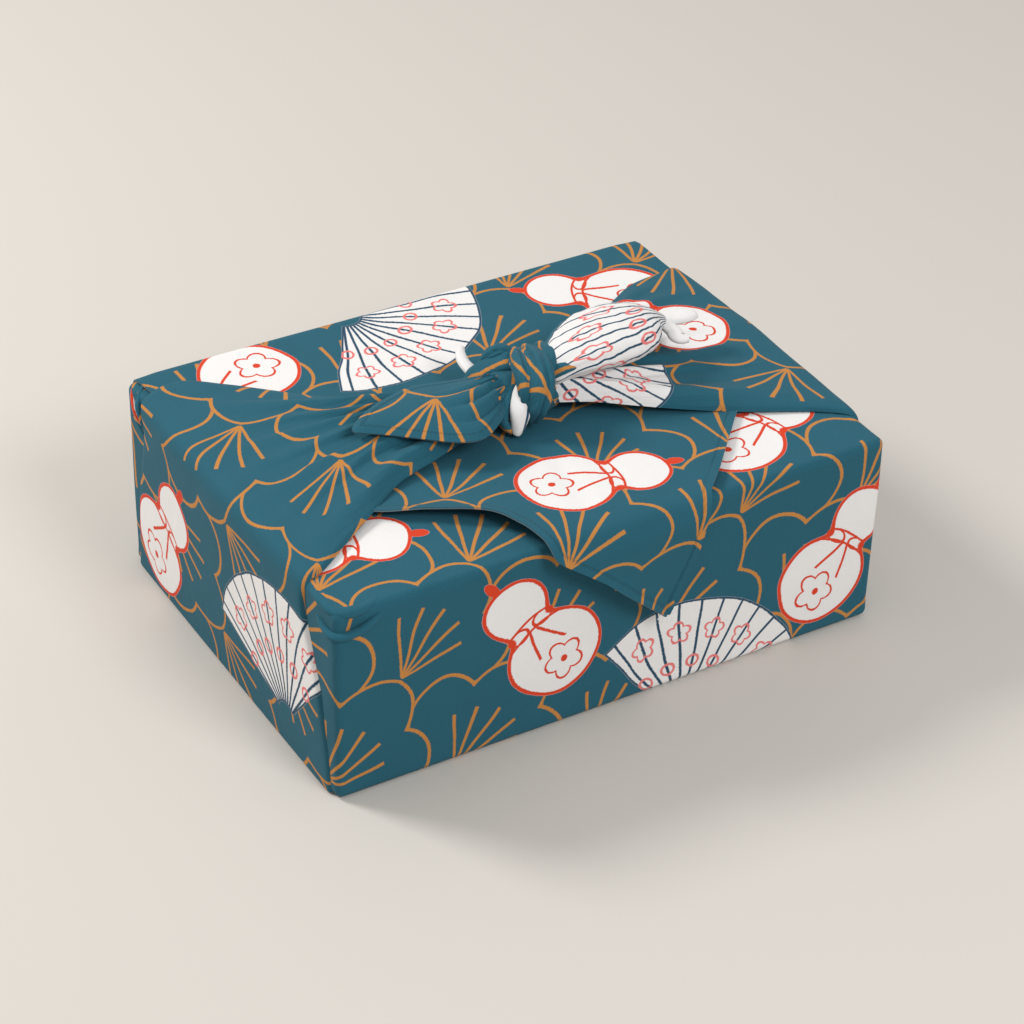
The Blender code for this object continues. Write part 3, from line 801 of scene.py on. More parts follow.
def wrap_patch():
    """The cloth round the box: every side of it, with its edges rounded."""
    half = (WRAP_LENGTH / 2, WRAP_DEPTH / 2, WRAP_HEIGHT / 2)
    lines = [edge_lines(h, WRAP_RADIUS, CELL) for h in half]
    reach = [flat_length(h, h, WRAP_RADIUS) for h in half]
    index, points, faces, corner_flat = {}, [], [], []

    def vertex(place):
        key = tuple(np.round(place, 7))
        if key not in index:
            index[key] = len(points)
            inner = np.array([min(max(p, -(h - WRAP_RADIUS)), h - WRAP_RADIUS) for p, h in zip(place, half)])
            out = np.array(place) - inner
            length = np.linalg.norm(out)
            points.append(inner + out / length * WRAP_RADIUS if length > 0 else inner)
        return index[key]

    def chart(side, place):
        x, y, z = (flat_length(p, h, WRAP_RADIUS) for p, h in zip(place, half))
        height = z + reach[2]
        if side == (2, -1):
            return (x, y)
        if side == (1, 1):
            return (x, reach[1] + height)
        if side == (1, -1):
            return (x, -(reach[1] + height))
        if side == (2, 1):
            return (x, -(reach[1] + 2 * reach[2] + y + reach[1]))
        across = math.copysign(reach[0] + reach[1] - abs(y), side[1])
        return (across, math.copysign(reach[1] + height, y + 1e-9))

    for axis in range(3):
        first, second = [n for n in range(3) if n != axis]
        for sign in (-1, 1):
            side = (axis, sign)
            for u0, u1 in zip(lines[first], lines[first][1:]):
                for v0, v1 in zip(lines[second], lines[second][1:]):
                    ring = [(u0, v0), (u1, v0), (u1, v1), (u0, v1)]
                    if (sign > 0) == (axis == 1):
                        ring.reverse()
                    places = []
                    for u, v in ring:
                        place = [0.0, 0.0, 0.0]
                        place[first], place[second], place[axis] = u, v, sign * half[axis]
                        places.append(place)
                    faces.append(tuple(vertex(place) for place in places))
                    middle = np.mean(places, axis=0)
                    for place in places:
                        y = math.copysign(max(abs(place[1]), 1e-6), middle[1])
                        corner_flat.append(chart(side, (place[0], y, place[2])))
    points = np.array(points) + np.array((0, 0, half[2]))
    points = soften_wrap(points, half)
    return Patch(points, faces, np.zeros((len(points), 2)), corner_flat=corner_flat)


def soften_wrap(points, half):
    """Slack in the cloth: slow waves, the pressed creases and the hollow at the corner pocket."""
    middle = np.array((0, 0, half[2]))
    inner = np.array([h - WRAP_RADIUS for h in half])
    out = points - middle
    out -= np.clip(out, -inner, inner)
    normals = out / np.maximum(np.linalg.norm(out, axis=1, keepdims=True), 1e-9)
    slack = np.array([wavy(p, WRAP_WAVES) for p in points]) * MM
    above = np.clip(points[:, 2] / WRAP_FOOT, 0, 1)
    points = points + normals * ((slack - WRAP_SINK) * above)[:, None]
    points = press(points, normals * above[:, None], WRAP_CREASES)
    gap = np.linalg.norm(points - np.array(POCKET_HOLLOW) * MM, axis=1)
    near = np.exp(-((gap / POCKET_REACH) ** 2))
    return points + np.array(POCKET_WAY) * (near * POCKET_DEPTH)[:, None]


def flap_patch():
    """The back corner: up the back face, over the top and down the front, with its hems."""
    clear = FLAP_CLEAR * MM
    half_depth, edge_height = WRAP_DEPTH / 2, WRAP_HEIGHT - WRAP_RADIUS
    rounded = WRAP_RADIUS + clear
    rows = []
    for z in np.linspace(0.001, edge_height, FLAP_BACK):
        rows.append((half_depth + clear * smooth_step(0.0, FLAP_FOOT, z), z, 90))
    for n in range(1, FLAP_BENDS + 1):
        turn = 90 * n / FLAP_BENDS
        y = half_depth - WRAP_RADIUS + rounded * math.cos(math.radians(turn))
        rows.append((y, edge_height + rounded * math.sin(math.radians(turn)), 90 - turn))
    grid, out_ways = [], []
    for y, z, facing in rows:
        out = np.array((0, math.sin(math.radians(facing)), math.cos(math.radians(facing))))
        t = np.linspace(0, 1, FLAP_ACROSS + 1)
        x = FLAP_HALF * (2 * t - 1) * MM
        taper = np.clip(np.minimum(t, 1 - t) / FLAP_TAPER, 0, 1)[:, None]
        base = np.stack([x, np.full_like(t, y), np.full_like(t, z)], axis=1)
        grid.append(base - out * clear * (1 - taper))
        out_ways.append(np.broadcast_to(out, base.shape))
    for n in range(1, FLAP_ALONG + 1):
        row = along(FLAP, n / FLAP_ALONG)
        hanging = smooth_step(*FLAP_OVER_EDGE, row.y)
        out = np.array((0, -hanging, 1 - hanging))
        out = out / np.linalg.norm(out)
        points = []
        for k in range(FLAP_ACROSS + 1):
            t = k / FLAP_ACROSS
            off = row.left_off * (1 - t) ** 3 + row.right_off * t**3
            off += row.crown * math.sin(math.pi * t)
            x = row.left + (row.right - row.left) * t
            points.append((np.array((x, row.y, row.z)) + out * off) * MM)
        grid.append(np.array(points))
        out_ways.append(np.broadcast_to(out, grid[-1].shape))
    grid, out_ways = np.array(grid), np.array(out_ways)
    path = grid[:, FLAP_ACROSS // 2]
    steps = np.linalg.norm(np.diff(path, axis=0), axis=1)
    run = half_depth + np.concatenate([[0], np.cumsum(steps)])
    flat = np.stack([grid[..., 0], np.broadcast_to(run[:, None], grid.shape[:2])], axis=2)
    start = len(rows)
    marks = np.concatenate([grid[start + FLAP_HEM_START:, 0], grid[start + FLAP_HEM_START:, -1]])
    between = (marks[1:] + marks[:-1]) / 2
    hem = distance_to(grid.reshape(-1, 3), np.concatenate([marks, between])).reshape(grid.shape[:2])
    hem[:start] = NO_HEM
    moved = press(grid, out_ways, FLAP_CREASES)
    wave = np.array([[wavy(p, (FLAP_WAVE,)) for p in line] for line in grid])
    fade = np.clip(np.arange(len(grid)) / FLAP_CALM_ROWS, 0, 1)[:, None]
    moved = moved + out_ways * (wave * fade + doubled(hem) * FLAP_HEM_RISE)[..., None]
    return slab_patch(moved, FLAP_THICKNESS, flat, hem)


def pleat_height(pleat, t, near):
    """How high a pleat stands at a place across its corner, steeper on one side than the other."""
    reach = pleat.front_reach if t < pleat.across else pleat.back_reach
    far = min(abs(t - pleat.across) / reach, 1.0)
    return pleat.height * near * (1 - far) * (1 + PLEAT_SWELL * far * (1 - far))


def ear_patch(rows, pleats, seed, start_height):
    """A side corner of the cloth, gathered from its whole face to the knot, its folds rolled under."""
    side = math.copysign(1.0, rows[0].fx)
    grid, gathers = [], []
    for n in range(EAR_ALONG + 1):
        s = n / EAR_ALONG
        row = along(rows, s)
        angle = math.radians(row.facing)
        out = Vector((side * math.sin(angle), 0, math.cos(angle)))
        front, back = Vector((row.fx, row.fy, row.fz)), Vector((row.bx, row.by, row.bz))
        width = (back - front).length
        power = min(max(FOLD_SQUARE * width / row.thick, FOLD_POWERS[0]), FOLD_POWERS[1])
        line = []
        for k in range(EAR_ACROSS + 1):
            t = 0.5 - 0.5 * math.cos(math.pi * k / EAR_ACROSS)
            t = EAR_CROWD * t + (1 - EAR_CROWD) * k / EAR_ACROSS
            point = front.lerp(back, t)
            rounded = max(0.0, 1 - abs(2 * t - 1) ** power) ** 0.5
            height = row.lift + (row.thick - row.lift) * rounded
            crown = row.crown * math.sin(math.pi * t) ** CROWN_POWER
            for pleat in pleats:
                near = smooth_step(pleat.start, PLEAT_FULL, s)
                bend = PLEAT_BEND * math.sin(s * PLEAT_BENDS + pleat.across * PLEAT_PHASE)
                crown += pleat_height(pleat, t + bend * near, near) * rounded
            metres = point * MM
            slack = wavy(metres, EAR_WAVES, seed)
            sway = GATHER_PITCH * t + GATHER_SLANT * s + wavy(metres, (GATHER_SWAY,), seed)
            slack += GATHER_HEIGHT * smooth_step(*GATHER_START, s) * abs(math.sin(sway)) ** GATHER_POWER
            height += crown + slack * rounded * smooth_step(*SLACK_START, s)
            line.append((point + out * height) * MM)
        under = [EAR_TURN * k / EAR_UNDER for k in range(1, EAR_UNDER + 1)]
        first = [(front.lerp(back, t) + out * row.lift) * MM for t in reversed(under)]
        last = [(back.lerp(front, t) + out * row.lift) * MM for t in under]
        grid.append([tuple(p) for p in first + line + last])
        gathers.append(smooth_step(*GATHERED, s))
    grid = np.array(grid)
    middle = grid.shape[1] // 2
    steps = np.linalg.norm(np.diff(grid[:, middle], axis=0), axis=1)
    run = start_height + np.concatenate([[0], np.cumsum(steps)])
    across = np.linalg.norm(np.diff(grid, axis=1), axis=2)
    across = np.concatenate([np.zeros((len(grid), 1)), np.cumsum(across, axis=1)], axis=1)
    spread = 1 + EAR_SPREAD * np.array(gathers)[:, None]
    centre = (grid[:, EAR_UNDER, 1] + grid[:, -EAR_UNDER - 1, 1]) / 2
    b = centre[:, None] + (across - across[:, middle][:, None]) * spread
    a = np.broadcast_to((side * run)[:, None], b.shape)
    flat = np.stack([a, b], axis=2).reshape(-1, 2)
    gather = np.broadcast_to(np.array(gathers)[:, None], b.shape).ravel()
    faces = grid_faces(grid.shape[0], grid.shape[1], flip=side < 0)
    return Patch(grid.reshape(-1, 3), faces, flat, gather=gather)


def strand_grid(rows, steps, sides, seam=0.0, ridges=0, depth=0.0, twist=0.0, slack=0.0, seed=0, rough=0.0):
    """Rings of an oval strand along its path, folded lengthwise and uneven where it says."""
    grid, runs, run = [], [], 0.0
    across, before = Vector((1, 0, 0)), None
    for n in range(steps + 1):
        s = n / steps
        row = along(rows, s)
        ahead, behind = along(rows, min(s + PATH_STEP, 1.0)), along(rows, max(s - PATH_STEP, 0.0))
        way = Vector((ahead.x - behind.x, ahead.y - behind.y, ahead.z - behind.z)).normalized()
        if n == 0:
            across = way.cross(Vector((0, 0, 1)))
            if across.length < SIDEWAYS_LEAST:
                across = Vector((1, 0, 0))
        across = (across - way * across.dot(way)).normalized()
        up = across.cross(way)
        centre = Vector((row.x, row.y, row.z))
        run += 0.0 if before is None else (centre - before).length
        before = centre
        inside = min(min(s, 1 - s) / END_SHARE, 1.0)
        end = math.sqrt(max(END_LEAST, 1 - (1 - inside) ** 2))
        taut = 1 - slack * math.sin(math.pi * s)
        ring = []
        for k in range(sides):
            angle = seam + 2 * math.pi * k / sides
            swell = 1.0
            if ridges:
                coarse = abs(math.cos(ridges * angle / 2 + s * twist)) ** FOLD_POWER
                fine = abs(math.cos((ridges + FINE_FOLDS) * angle / 2 - s * twist * FINE_TWIST + seed))
                swell += depth * taut * (FOLD_SHARES[0] * coarse + FOLD_SHARES[1] * fine - 1)
            side = across * (row.width / 2 * math.cos(angle)) + up * (row.height / 2 * math.sin(angle))
            metres = (centre + side * swell) * MM
            swell += rough * wavy(metres, ROUGH_WAVES, seed)
            ring.append(tuple((centre + side * swell * end) * MM))
        grid.append(ring)
        runs.append(run * MM)
    return np.array(grid), np.array(runs)


def strand_patch(
    rows, place, turn, steps=40, sides=40, reach=1.0, spread=1.4, meridian=0.0, gather=1.0, **shape
):
    """A strand as a patch, its print centred on a place of the flat cloth and running that way.

    reach and spread say how much of the flat cloth goes along it and round it, and meridian how far
    lines that run along it draw together where it is narrow."""
    grid, runs = strand_grid(rows, steps, sides, **shape)
    closed = np.concatenate([grid, grid[:, :1]], axis=1)
    round_it = np.cumsum(np.linalg.norm(np.diff(closed, axis=1), axis=2), axis=1)
    round_it = np.concatenate([np.zeros((len(grid), 1)), round_it], axis=1)
    whole = round_it[:, -1:]
    round_it = (round_it / whole - 0.5) * (whole * (1 - meridian) + whole.max() * meridian)
    runs = (runs - runs[-1] / 2) * reach
    u, v = np.broadcast_to(runs[:, None], round_it.shape), round_it * spread
    flat = np.stack([
        place[0] + u * math.cos(turn) - v * math.sin(turn),
        place[1] + u * math.sin(turn) + v * math.cos(turn),
    ], axis=2)
    rings = grid.shape[0]
    faces = grid_faces(rings, sides, wrap=True)
    corner_flat = [flat[i, j] for n in range(rings - 1) for k in range(sides)
                   for i, j in ((n, k), (n + 1, k), (n + 1, k + 1), (n, k + 1))]
    faces.append(tuple(range(sides)))
    faces.append(tuple(reversed(range((rings - 1) * sides, rings * sides))))
    corner_flat += list(flat[0, :sides]) + list(flat[-1, :sides][::-1])
    return Patch(grid.reshape(-1, 3), faces, np.zeros((rings * sides, 2)), None, gather, corner_flat)


def thread_patch(thread):
    """A short loose thread, sagging a little on its way."""
    first, last = (thread.x1, thread.y1, thread.z1), (thread.x2, thread.y2, thread.z2)
    middle = [(p + q) / 2 + sag for p, q, sag in zip(first, last, THREAD_SAG)]
    rows = [StrandRow(*point, thread.thick, thread.thick) for point in (first, middle, last)]
    return strand_patch(rows, on_motif(TIP_GOURD, 0.0, TIP_UP), 0.0, 6, 6, 0.2, 0.2, gather=0.0)


def left_tail_patch():
    """The left tail: a leaf-shaped sheet, creased at its neck, with its hem along both edges."""
    grid, gather = [], []
    for n in range(TAIL_ALONG + 1):
        s = n / TAIL_ALONG
        row = along(LEFT_TAIL, s)
        neck = 1 - smooth_step(*TAIL_NECK, s)
        line = []
        for k in range(TAIL_ACROSS + 1):
            t = k / TAIL_ACROSS
            y = row.low + (row.high - row.low) * t
            z = row.z + row.crown * math.sin(math.pi * t) - row.droop * (1 - t) ** 3
            way = TAIL_PLEAT_PITCH * (t - TAIL_PLEAT_SLANT * s)
            way += TAIL_PLEAT_SWAY * math.sin(TAIL_PLEAT_SWAYS * s)
            near = min(t * TAIL_PLEAT_SPREAD, 1.0) ** TAIL_FADE_POWERS[0]
            fade = math.sin(math.pi * near) ** TAIL_FADE_POWERS[1]
            z += neck * TAIL_PLEAT * (abs(math.sin(way)) ** TAIL_PLEAT_POWER - 0.5) * fade
            z += wavy(Vector((row.x, y, z)) * MM, (TAIL_WAVE,)) * math.sin(math.pi * t)
            line.append((row.x * MM, y * MM, z * MM))
        grid.append(line)
        gather.append([1 - smooth_step(*TAIL_GATHER, s)] * (TAIL_ACROSS + 1))
    grid = np.array(grid)
    marks = np.concatenate([grid[:, 0], grid[:, -1], grid[-1]])
    hem = distance_to(grid.reshape(-1, 3), marks).reshape(grid.shape[:2])
    flat = np.stack([TAIL_PLACE[0] - grid[..., 0], TAIL_PLACE[1] + grid[..., 1] * TAIL_STRETCH], axis=2)
    grid[..., 2] += doubled(hem) * TAIL_HEM_RISE
    return slab_patch(grid, TAIL_THICKNESS, flat, hem, np.array(gather), flip=True)


def on_scallop(number):
    """The place on the flat cloth of the middle of a scallop's plain stretch."""
    scallop = KNOT_SCALLOPS[number]
    s = scallop.column * PINE_COLUMN + PRINT_START[0]
    t = (scallop.row + (scallop.column % 2) / 2) * PINE_ROW + scallop.up + PRINT_START[1]
    c, w = math.cos(PRINT_TILT), math.sin(PRINT_TILT)
    return (s * c + t * w, s * w - t * c)


def knot_patch(number):
    """One of the knot's folds, its print centred on the scallop of the same number."""
    fold = KNOT_FOLDS[number]
    return strand_patch(
        fold.path, on_scallop(number), PRINT_TILT, fold.steps, fold.sides, fold.reach, fold.spread,
        ridges=fold.ridges, depth=fold.depth, twist=fold.twist, seed=fold.seed, rough=fold.rough
    )


def on_motif(motif, x, y):
    """The place on the flat cloth of a point in a motif's own frame, its y the way it points."""
    c, w = math.cos(math.radians(motif.turn)), math.sin(math.radians(motif.turn))
    return (motif.a * MM + y * c + x * w, motif.b * MM + y * w - x * c)


class Field:
    """A number worked out at each point of a surface, so that a print is written as sums."""

    def __init__(self, tree, socket):
        self.tree, self.socket = tree, socket

    def math(self, operation, *others):
        node = self.tree.nodes.new("ShaderNodeMath")
        node.operation = operation
        for n, value in enumerate((self,) + others):
            if isinstance(value, Field):
                self.tree.links.new(value.socket, node.inputs[n])
            else:
                node.inputs[n].default_value = value
        return Field(self.tree, node.outputs[0])

    def __add__(self, other):
        return self.math("ADD", other)

    def __sub__(self, other):
        return self.math("SUBTRACT", other)

    def __mul__(self, other):
        return self.math("MULTIPLY", other)

    def __truediv__(self, other):
        return self.math("DIVIDE", other)

    def __neg__(self):
        return self * -1.0

    def __abs__(self):
        return self.math("ABSOLUTE")

    def wrapped(self, length):
        return self.math("FLOORED_MODULO", length)

    def nearest(self):
        return self.math("ROUND")

    def least(self, other):
        return self.math("MINIMUM", other)

    def most(self, other):
        return self.math("MAXIMUM", other)

    def held(self, low, high):
        return self.most(low).least(high)

    def over(self, other):
        return self.math("GREATER_THAN", other)

    def mix(self, other, share):
        """This where share is 0, other where it is 1."""
        return self + (other - self) * share


def length_of(x, y):
    return (x * x + y * y).math("SQRT")


def ink(distance, soft=PRINT_SOFT):
    """1 where a signed distance is inside a shape, 0 outside, with a soft printed edge."""
    return (distance * (-1.0 / soft) + 0.5).held(0.0, 1.0)


def turned(x, y, angle):
    cosine, sine = angle.math("COSINE"), angle.math("SINE")
    return x * cosine + y * sine, y * cosine - x * sine


def pine_unit(x, y):
    """How much a pine bough covers a point, and how much of its gold line lies there."""
    radius = length_of(x, y)
    signed = x.math("ARCTAN2", y)
    angle = abs(signed)
    lobe = (angle * (1 / PINE_LOBE) + 0.5).wrapped(1.0) * 2.0 - 1.0
    square = lobe * lobe
    edge = angle * -PINE_FALL + PINE_REACH - square * PINE_LOBE_DEPTH
    gap = (radius - edge) / (square * EDGE_STEEPER + 1.0)
    outline = abs(gap + LINE / 2) - LINE / 2
    number = (signed * (1 / RAY_STEP)).nearest().held(-RAY_SIDE, RAY_SIDE)
    off = signed - number * RAY_STEP
    beside = abs(radius * off.math("SINE"))
    ahead = radius * off.math("COSINE")
    end = number * number * RAY_SHORTER + RAY_LENGTH
    ray = (beside - LINE * RAY_HALF - ahead * RAY_WIDENS).most(ahead - end).most(ahead * -1.0)
    return ink(gap), ink(outline).most(ink(ray))


def pine_print(s, t):
    """Gold pine boughs in a half-drop repeat, the lower ones lying over the upper ones."""
    column = (s * (1 / PINE_COLUMN)).nearest()
    x0 = s - column * PINE_COLUMN
    drop = column.wrapped(2.0) * (PINE_ROW / 2)
    y0 = (t - drop).wrapped(PINE_ROW)
    x1 = x0 - x0.math("SIGN") * PINE_COLUMN
    y1 = (y0 + PINE_ROW / 2).wrapped(PINE_ROW)
    lower = y0.over(y1)
    front = pine_unit(x1.mix(x0, lower), y1.mix(y0, lower))
    behind = pine_unit(x0.mix(x1, lower), y0.mix(y1, lower))
    return (behind[0] * behind[1]).mix(front[1], front[0])


def motif_frame(a, b, motifs):
    """A point's place in the frame of the nearest motif in a table."""
    tree = a.tree
    point = tree.nodes.new("ShaderNodeCombineXYZ")
    tree.links.new(a.socket, point.inputs["X"])
    tree.links.new(b.socket, point.inputs["Y"])
    nearest = gap = None
    for motif in motifs:
        measure = tree.nodes.new("ShaderNodeVectorMath")
        measure.operation = "DISTANCE"
        tree.links.new(point.outputs["Vector"], measure.inputs[0])
        measure.inputs[1].default_value = (motif.a * MM, motif.b * MM, 0.0)
        here = Field(tree, measure.outputs["Value"])
        choose = tree.nodes.new("ShaderNodeMix")
        choose.data_type = "VECTOR"
        choose.inputs["B"].default_value = (motif.a * MM, motif.b * MM, math.radians(motif.turn))
        if gap is None:
            choose.inputs["Factor"].default_value = 1.0
            gap = here
        else:
            tree.links.new(gap.over(here).socket, choose.inputs["Factor"])
            tree.links.new(nearest, choose.inputs[4])
            gap = gap.least(here)
        nearest = choose.outputs[1]
    parts = tree.nodes.new("ShaderNodeSeparateXYZ")
    tree.links.new(nearest, parts.inputs["Vector"])
    centre_a, centre_b, turn = (Field(tree, parts.outputs[name]) for name in "XYZ")
    x, y = turned(a - centre_a, b - centre_b, turn)
    return -y, x


def gourd_print(a, b):
    """A white gourd: how much of it covers a point, and how much vermilion lies there."""
    x, y = motif_frame(a, b, GOURDS)
    x, y = x * (1 / GOURD_SCALE), y * (1 / GOURD_SCALE)
    low = length_of(x, y - GOURD_LOW.up) - GOURD_LOW.radius
    high = length_of(x, y - GOURD_HIGH.up) - GOURD_HIGH.radius
    body = low.math("SMOOTH_MIN", high, GOURD_BLEND)
    stem = length_of(x * STEM_NARROW - STEM_SIDE, y - STEM.up) - STEM.radius
    whole = body.least(stem)
    outline = abs(body + OUTLINE / 2) - OUTLINE / 2
    waist = y - CORD_UP + x * x * CORD_BOW
    cord = (abs(abs(waist) - CORD_APART) - FINE_LINE).most(body)
    loops = abs(length_of(abs(x) - LOOP_SIDE, (y - LOOP.up) * LOOP_FLAT) - LOOP.radius) - CORD_LINE
    ends = abs(abs(x) - ENDS_SIDE + (y - ENDS_UP) * ENDS_SLANT) - CORD_LINE
    ends = ends.most(abs(y + ENDS_LOW) - ENDS_LENGTH)
    up = y - BLOSSOM.up
    around = x.math("ARCTAN2", up)
    petals = length_of(x, up) - BLOSSOM.radius
    petals = petals - abs((around * HALF_PETALS).math("COSINE")) * BLOSSOM_PETAL
    flower = abs(petals) - FINE_LINE
    heart = length_of(x, up) - BLOSSOM_HEART
    red = ink(outline)
    for part in (cord, loops, ends, flower, heart, stem):
        red = red.most(ink(part))
    return ink(whole), red


def fan_print(a, b):
    """A white folding fan: its cover, its navy ribs and its coral blossoms."""
    x, y = motif_frame(a, b, FANS)
    y = y + FAN_DROP
    radius = length_of(x, y)
    angle = x.math("ARCTAN2", y)
    sector = (radius - FAN_OUTER).most(-radius + FAN_INNER)
    sector = sector.most((abs(angle) - FAN_HALF) * radius)
    off = angle - (angle * (1 / FAN_RIB)).nearest() * FAN_RIB
    ribs = (abs(radius * off.math("SINE")) - FAN_RIB_LINE).most(sector)
    border = abs(sector + FAN_BORDER) - FAN_BORDER
    apart = FAN_RIB * 2
    turn = angle - (angle * (1 / apart)).nearest().held(-2.0, 2.0) * apart
    out, beside = radius - FAN_BLOSSOM.up, turn * FAN_BLOSSOM.up
    petals = abs((beside.math("ARCTAN2", out) * HALF_PETALS).math("COSINE")) * FAN_PETAL + FAN_BLOSSOM.radius
    blossom = abs(length_of(out, beside) - petals) - FAN_LINE
    turn = angle + apart / 2 - ((angle + apart / 2) * (1 / apart)).nearest() * apart
    bud = length_of(radius - FAN_BUD.up, turn * FAN_BUD.up) - FAN_BUD.radius
    coral = ink(blossom.least(abs(bud) - FAN_LINE).most(sector))
    return ink(sector), ink(ribs).most(ink(border)), coral


def grain_noise(tree, vector, grain):
    node = tree.nodes.new("ShaderNodeTexNoise")
    node.inputs["Scale"].default_value = grain.scale
    node.inputs["Detail"].default_value = grain.detail
    tree.links.new(vector, node.inputs["Vector"])
    return Field(tree, node.outputs["Fac"])


def uneven_by(tree, vector, grain):
    """A grain's noise about 0, as much as the grain counts."""
    return (grain_noise(tree, vector, grain) - 0.5) * grain.share


def attribute(tree, name):
    node = tree.nodes.new("ShaderNodeAttribute")
    node.attribute_name = name
    return Field(tree, node.outputs["Fac"])


def tinted(colour, shares):
    return tuple(value * share for value, share in zip(colour, shares)) + (1.0,)


def colour_mix(tree, first, second, share, blend="MIX"):
    """A colour or colour socket where share is 0, another where it is 1."""
    node = tree.nodes.new("ShaderNodeMix")
    node.data_type, node.blend_type = "RGBA", blend
    tree.links.new(share.socket, node.inputs["Factor"])
    for socket, value in ((node.inputs[6], first), (node.inputs[7], second)):
        if isinstance(value, tuple):
            socket.default_value = value
        else:
            tree.links.new(value, socket)
    return node.outputs[2]


def new_material(name):
    made = bpy.data.materials.new(name)
    made.use_nodes = True
    return made, made.node_tree, made.node_tree.nodes["Principled BSDF"]


def raise_surface(tree, shader, height, strength):
    """Lets a height in metres show on a material."""
    bump = tree.nodes.new("ShaderNodeBump")
    bump.inputs["Strength"].default_value = strength
    bump.inputs["Distance"].default_value = 1.0
    tree.links.new(height.socket, bump.inputs["Height"])
    tree.links.new(bump.outputs["Normal"], shader.inputs["Normal"])


def printed_cotton():
    """Plain-weave cotton with its print, hem stitching, painted shade along the hem's fold line, threads and
    small wrinkles.
    """
    made, tree, shader = new_material("printed_cotton")
    links = tree.links
    place = tree.nodes.new("ShaderNodeUVMap")
    place.uv_map = "flat"
    where = place.outputs["UV"]
    parts = tree.nodes.new("ShaderNodeSeparateXYZ")
    links.new(where, parts.inputs["Vector"])
    a, b = Field(tree, parts.outputs["X"]), Field(tree, parts.outputs["Y"])
    hem, gather = attribute(tree, "hem"), attribute(tree, "gather")
    bleed = uneven_by(tree, where, BLEED)
    pa = a + uneven_by(tree, where, SWAY_ALONG) + bleed
    pb = b + uneven_by(tree, where, SWAY_ACROSS) - bleed
    cosine, sine = math.cos(PRINT_TILT), math.sin(PRINT_TILT)
    s = pa * cosine + pb * sine - PRINT_START[0]
    t = pa * sine - pb * cosine - PRINT_START[1]
    gold = pine_print(s, t)
    gourd, red = gourd_print(pa, pb)
    fan, navy, coral = fan_print(pa, pb)
    tone = (uneven_by(tree, where, CLOUD) + uneven_by(tree, where, FINE) + 0.5).held(0.0, 1.0)
    colour = colour_mix(tree, tinted(TEAL, TEAL_DARK), tinted(TEAL, TEAL_LIGHT), tone)
    white = colour_mix(tree, WHITE, tinted(WHITE, WHITE_CREAM), tone)
    colour = colour_mix(tree, colour, colour_mix(tree, GOLD, tinted(GOLD, GOLD_THIN), tone), gold)
    for ink_colour, share in ((white, fan), (NAVY, navy), (CORAL, coral), (white, gourd), (VERMILION, red)):
        colour = colour_mix(tree, colour, ink_colour, share)
    colour = colour_mix(tree, colour, REVERSE, attribute(tree, "under") * REVERSE_SHARE)
    dash = ((a + b) * (1 / STITCH_PITCH)).wrapped(1.0)
    stitch = ink(abs(hem - HEM_WIDTH + STITCH_IN) - STITCH_LINE)
    stitch = stitch * ink(dash * MM - STITCH_SHARE, STITCH_SOFT)
    # Painted shade: a dark line where the doubled hem ends, standing in for the shade at its fold
    crease = ink(abs(hem - HEM_WIDTH) - HEM_FOLD_SHADE_LINE)
    shade = (stitch * STITCH_TINT_AND_FOLD_SHADE_SHARES[0]).most(crease * STITCH_TINT_AND_FOLD_SHADE_SHARES[1])
    links.new(colour_mix(tree, colour, STITCH_TINT_AND_FOLD_SHADE, shade, "MULTIPLY"), shader.inputs["Base Color"])
    for name, value in COTTON.items():
        shader.inputs[name].default_value = value
    squeezed = tree.nodes.new("ShaderNodeMapping")
    squeezed.inputs["Scale"].default_value = PULL_SQUEEZE
    links.new(where, squeezed.inputs["Vector"])
    turn = 2 * math.pi / WEAVE_PITCH
    height = (a * turn).math("SINE") * (b * turn).math("SINE") * WEAVE_HEIGHT
    height = height + uneven_by(tree, where, SLUBS) + uneven_by(tree, where, WRINKLES)
    height = height + uneven_by(tree, squeezed.outputs["Vector"], PULLS) * gather
    height = height + ink(hem - HEM_WIDTH, HEM_SOFT) * HEM_HEIGHT - stitch * STITCH_DEPTH
    raise_surface(tree, shader, height, COTTON_BUMP)
    return made


def box_board():
    """Grey-brown board with its fibres, for the box inside."""
    made, tree, shader = new_material("box_board")
    where = tree.nodes.new("ShaderNodeTexCoord").outputs["Object"]
    fibres = grain_noise(tree, where, BOARD_FIBRES)
    colour = colour_mix(tree, *BOARD_COLOURS, fibres.held(0.0, 1.0))
    tree.links.new(colour, shader.inputs["Base Color"])
    shader.inputs["Roughness"].default_value = BOARD_ROUGHNESS
    raise_surface(tree, shader, fibres * BOARD_FIBRES.share, BOARD_BUMP)
    return made


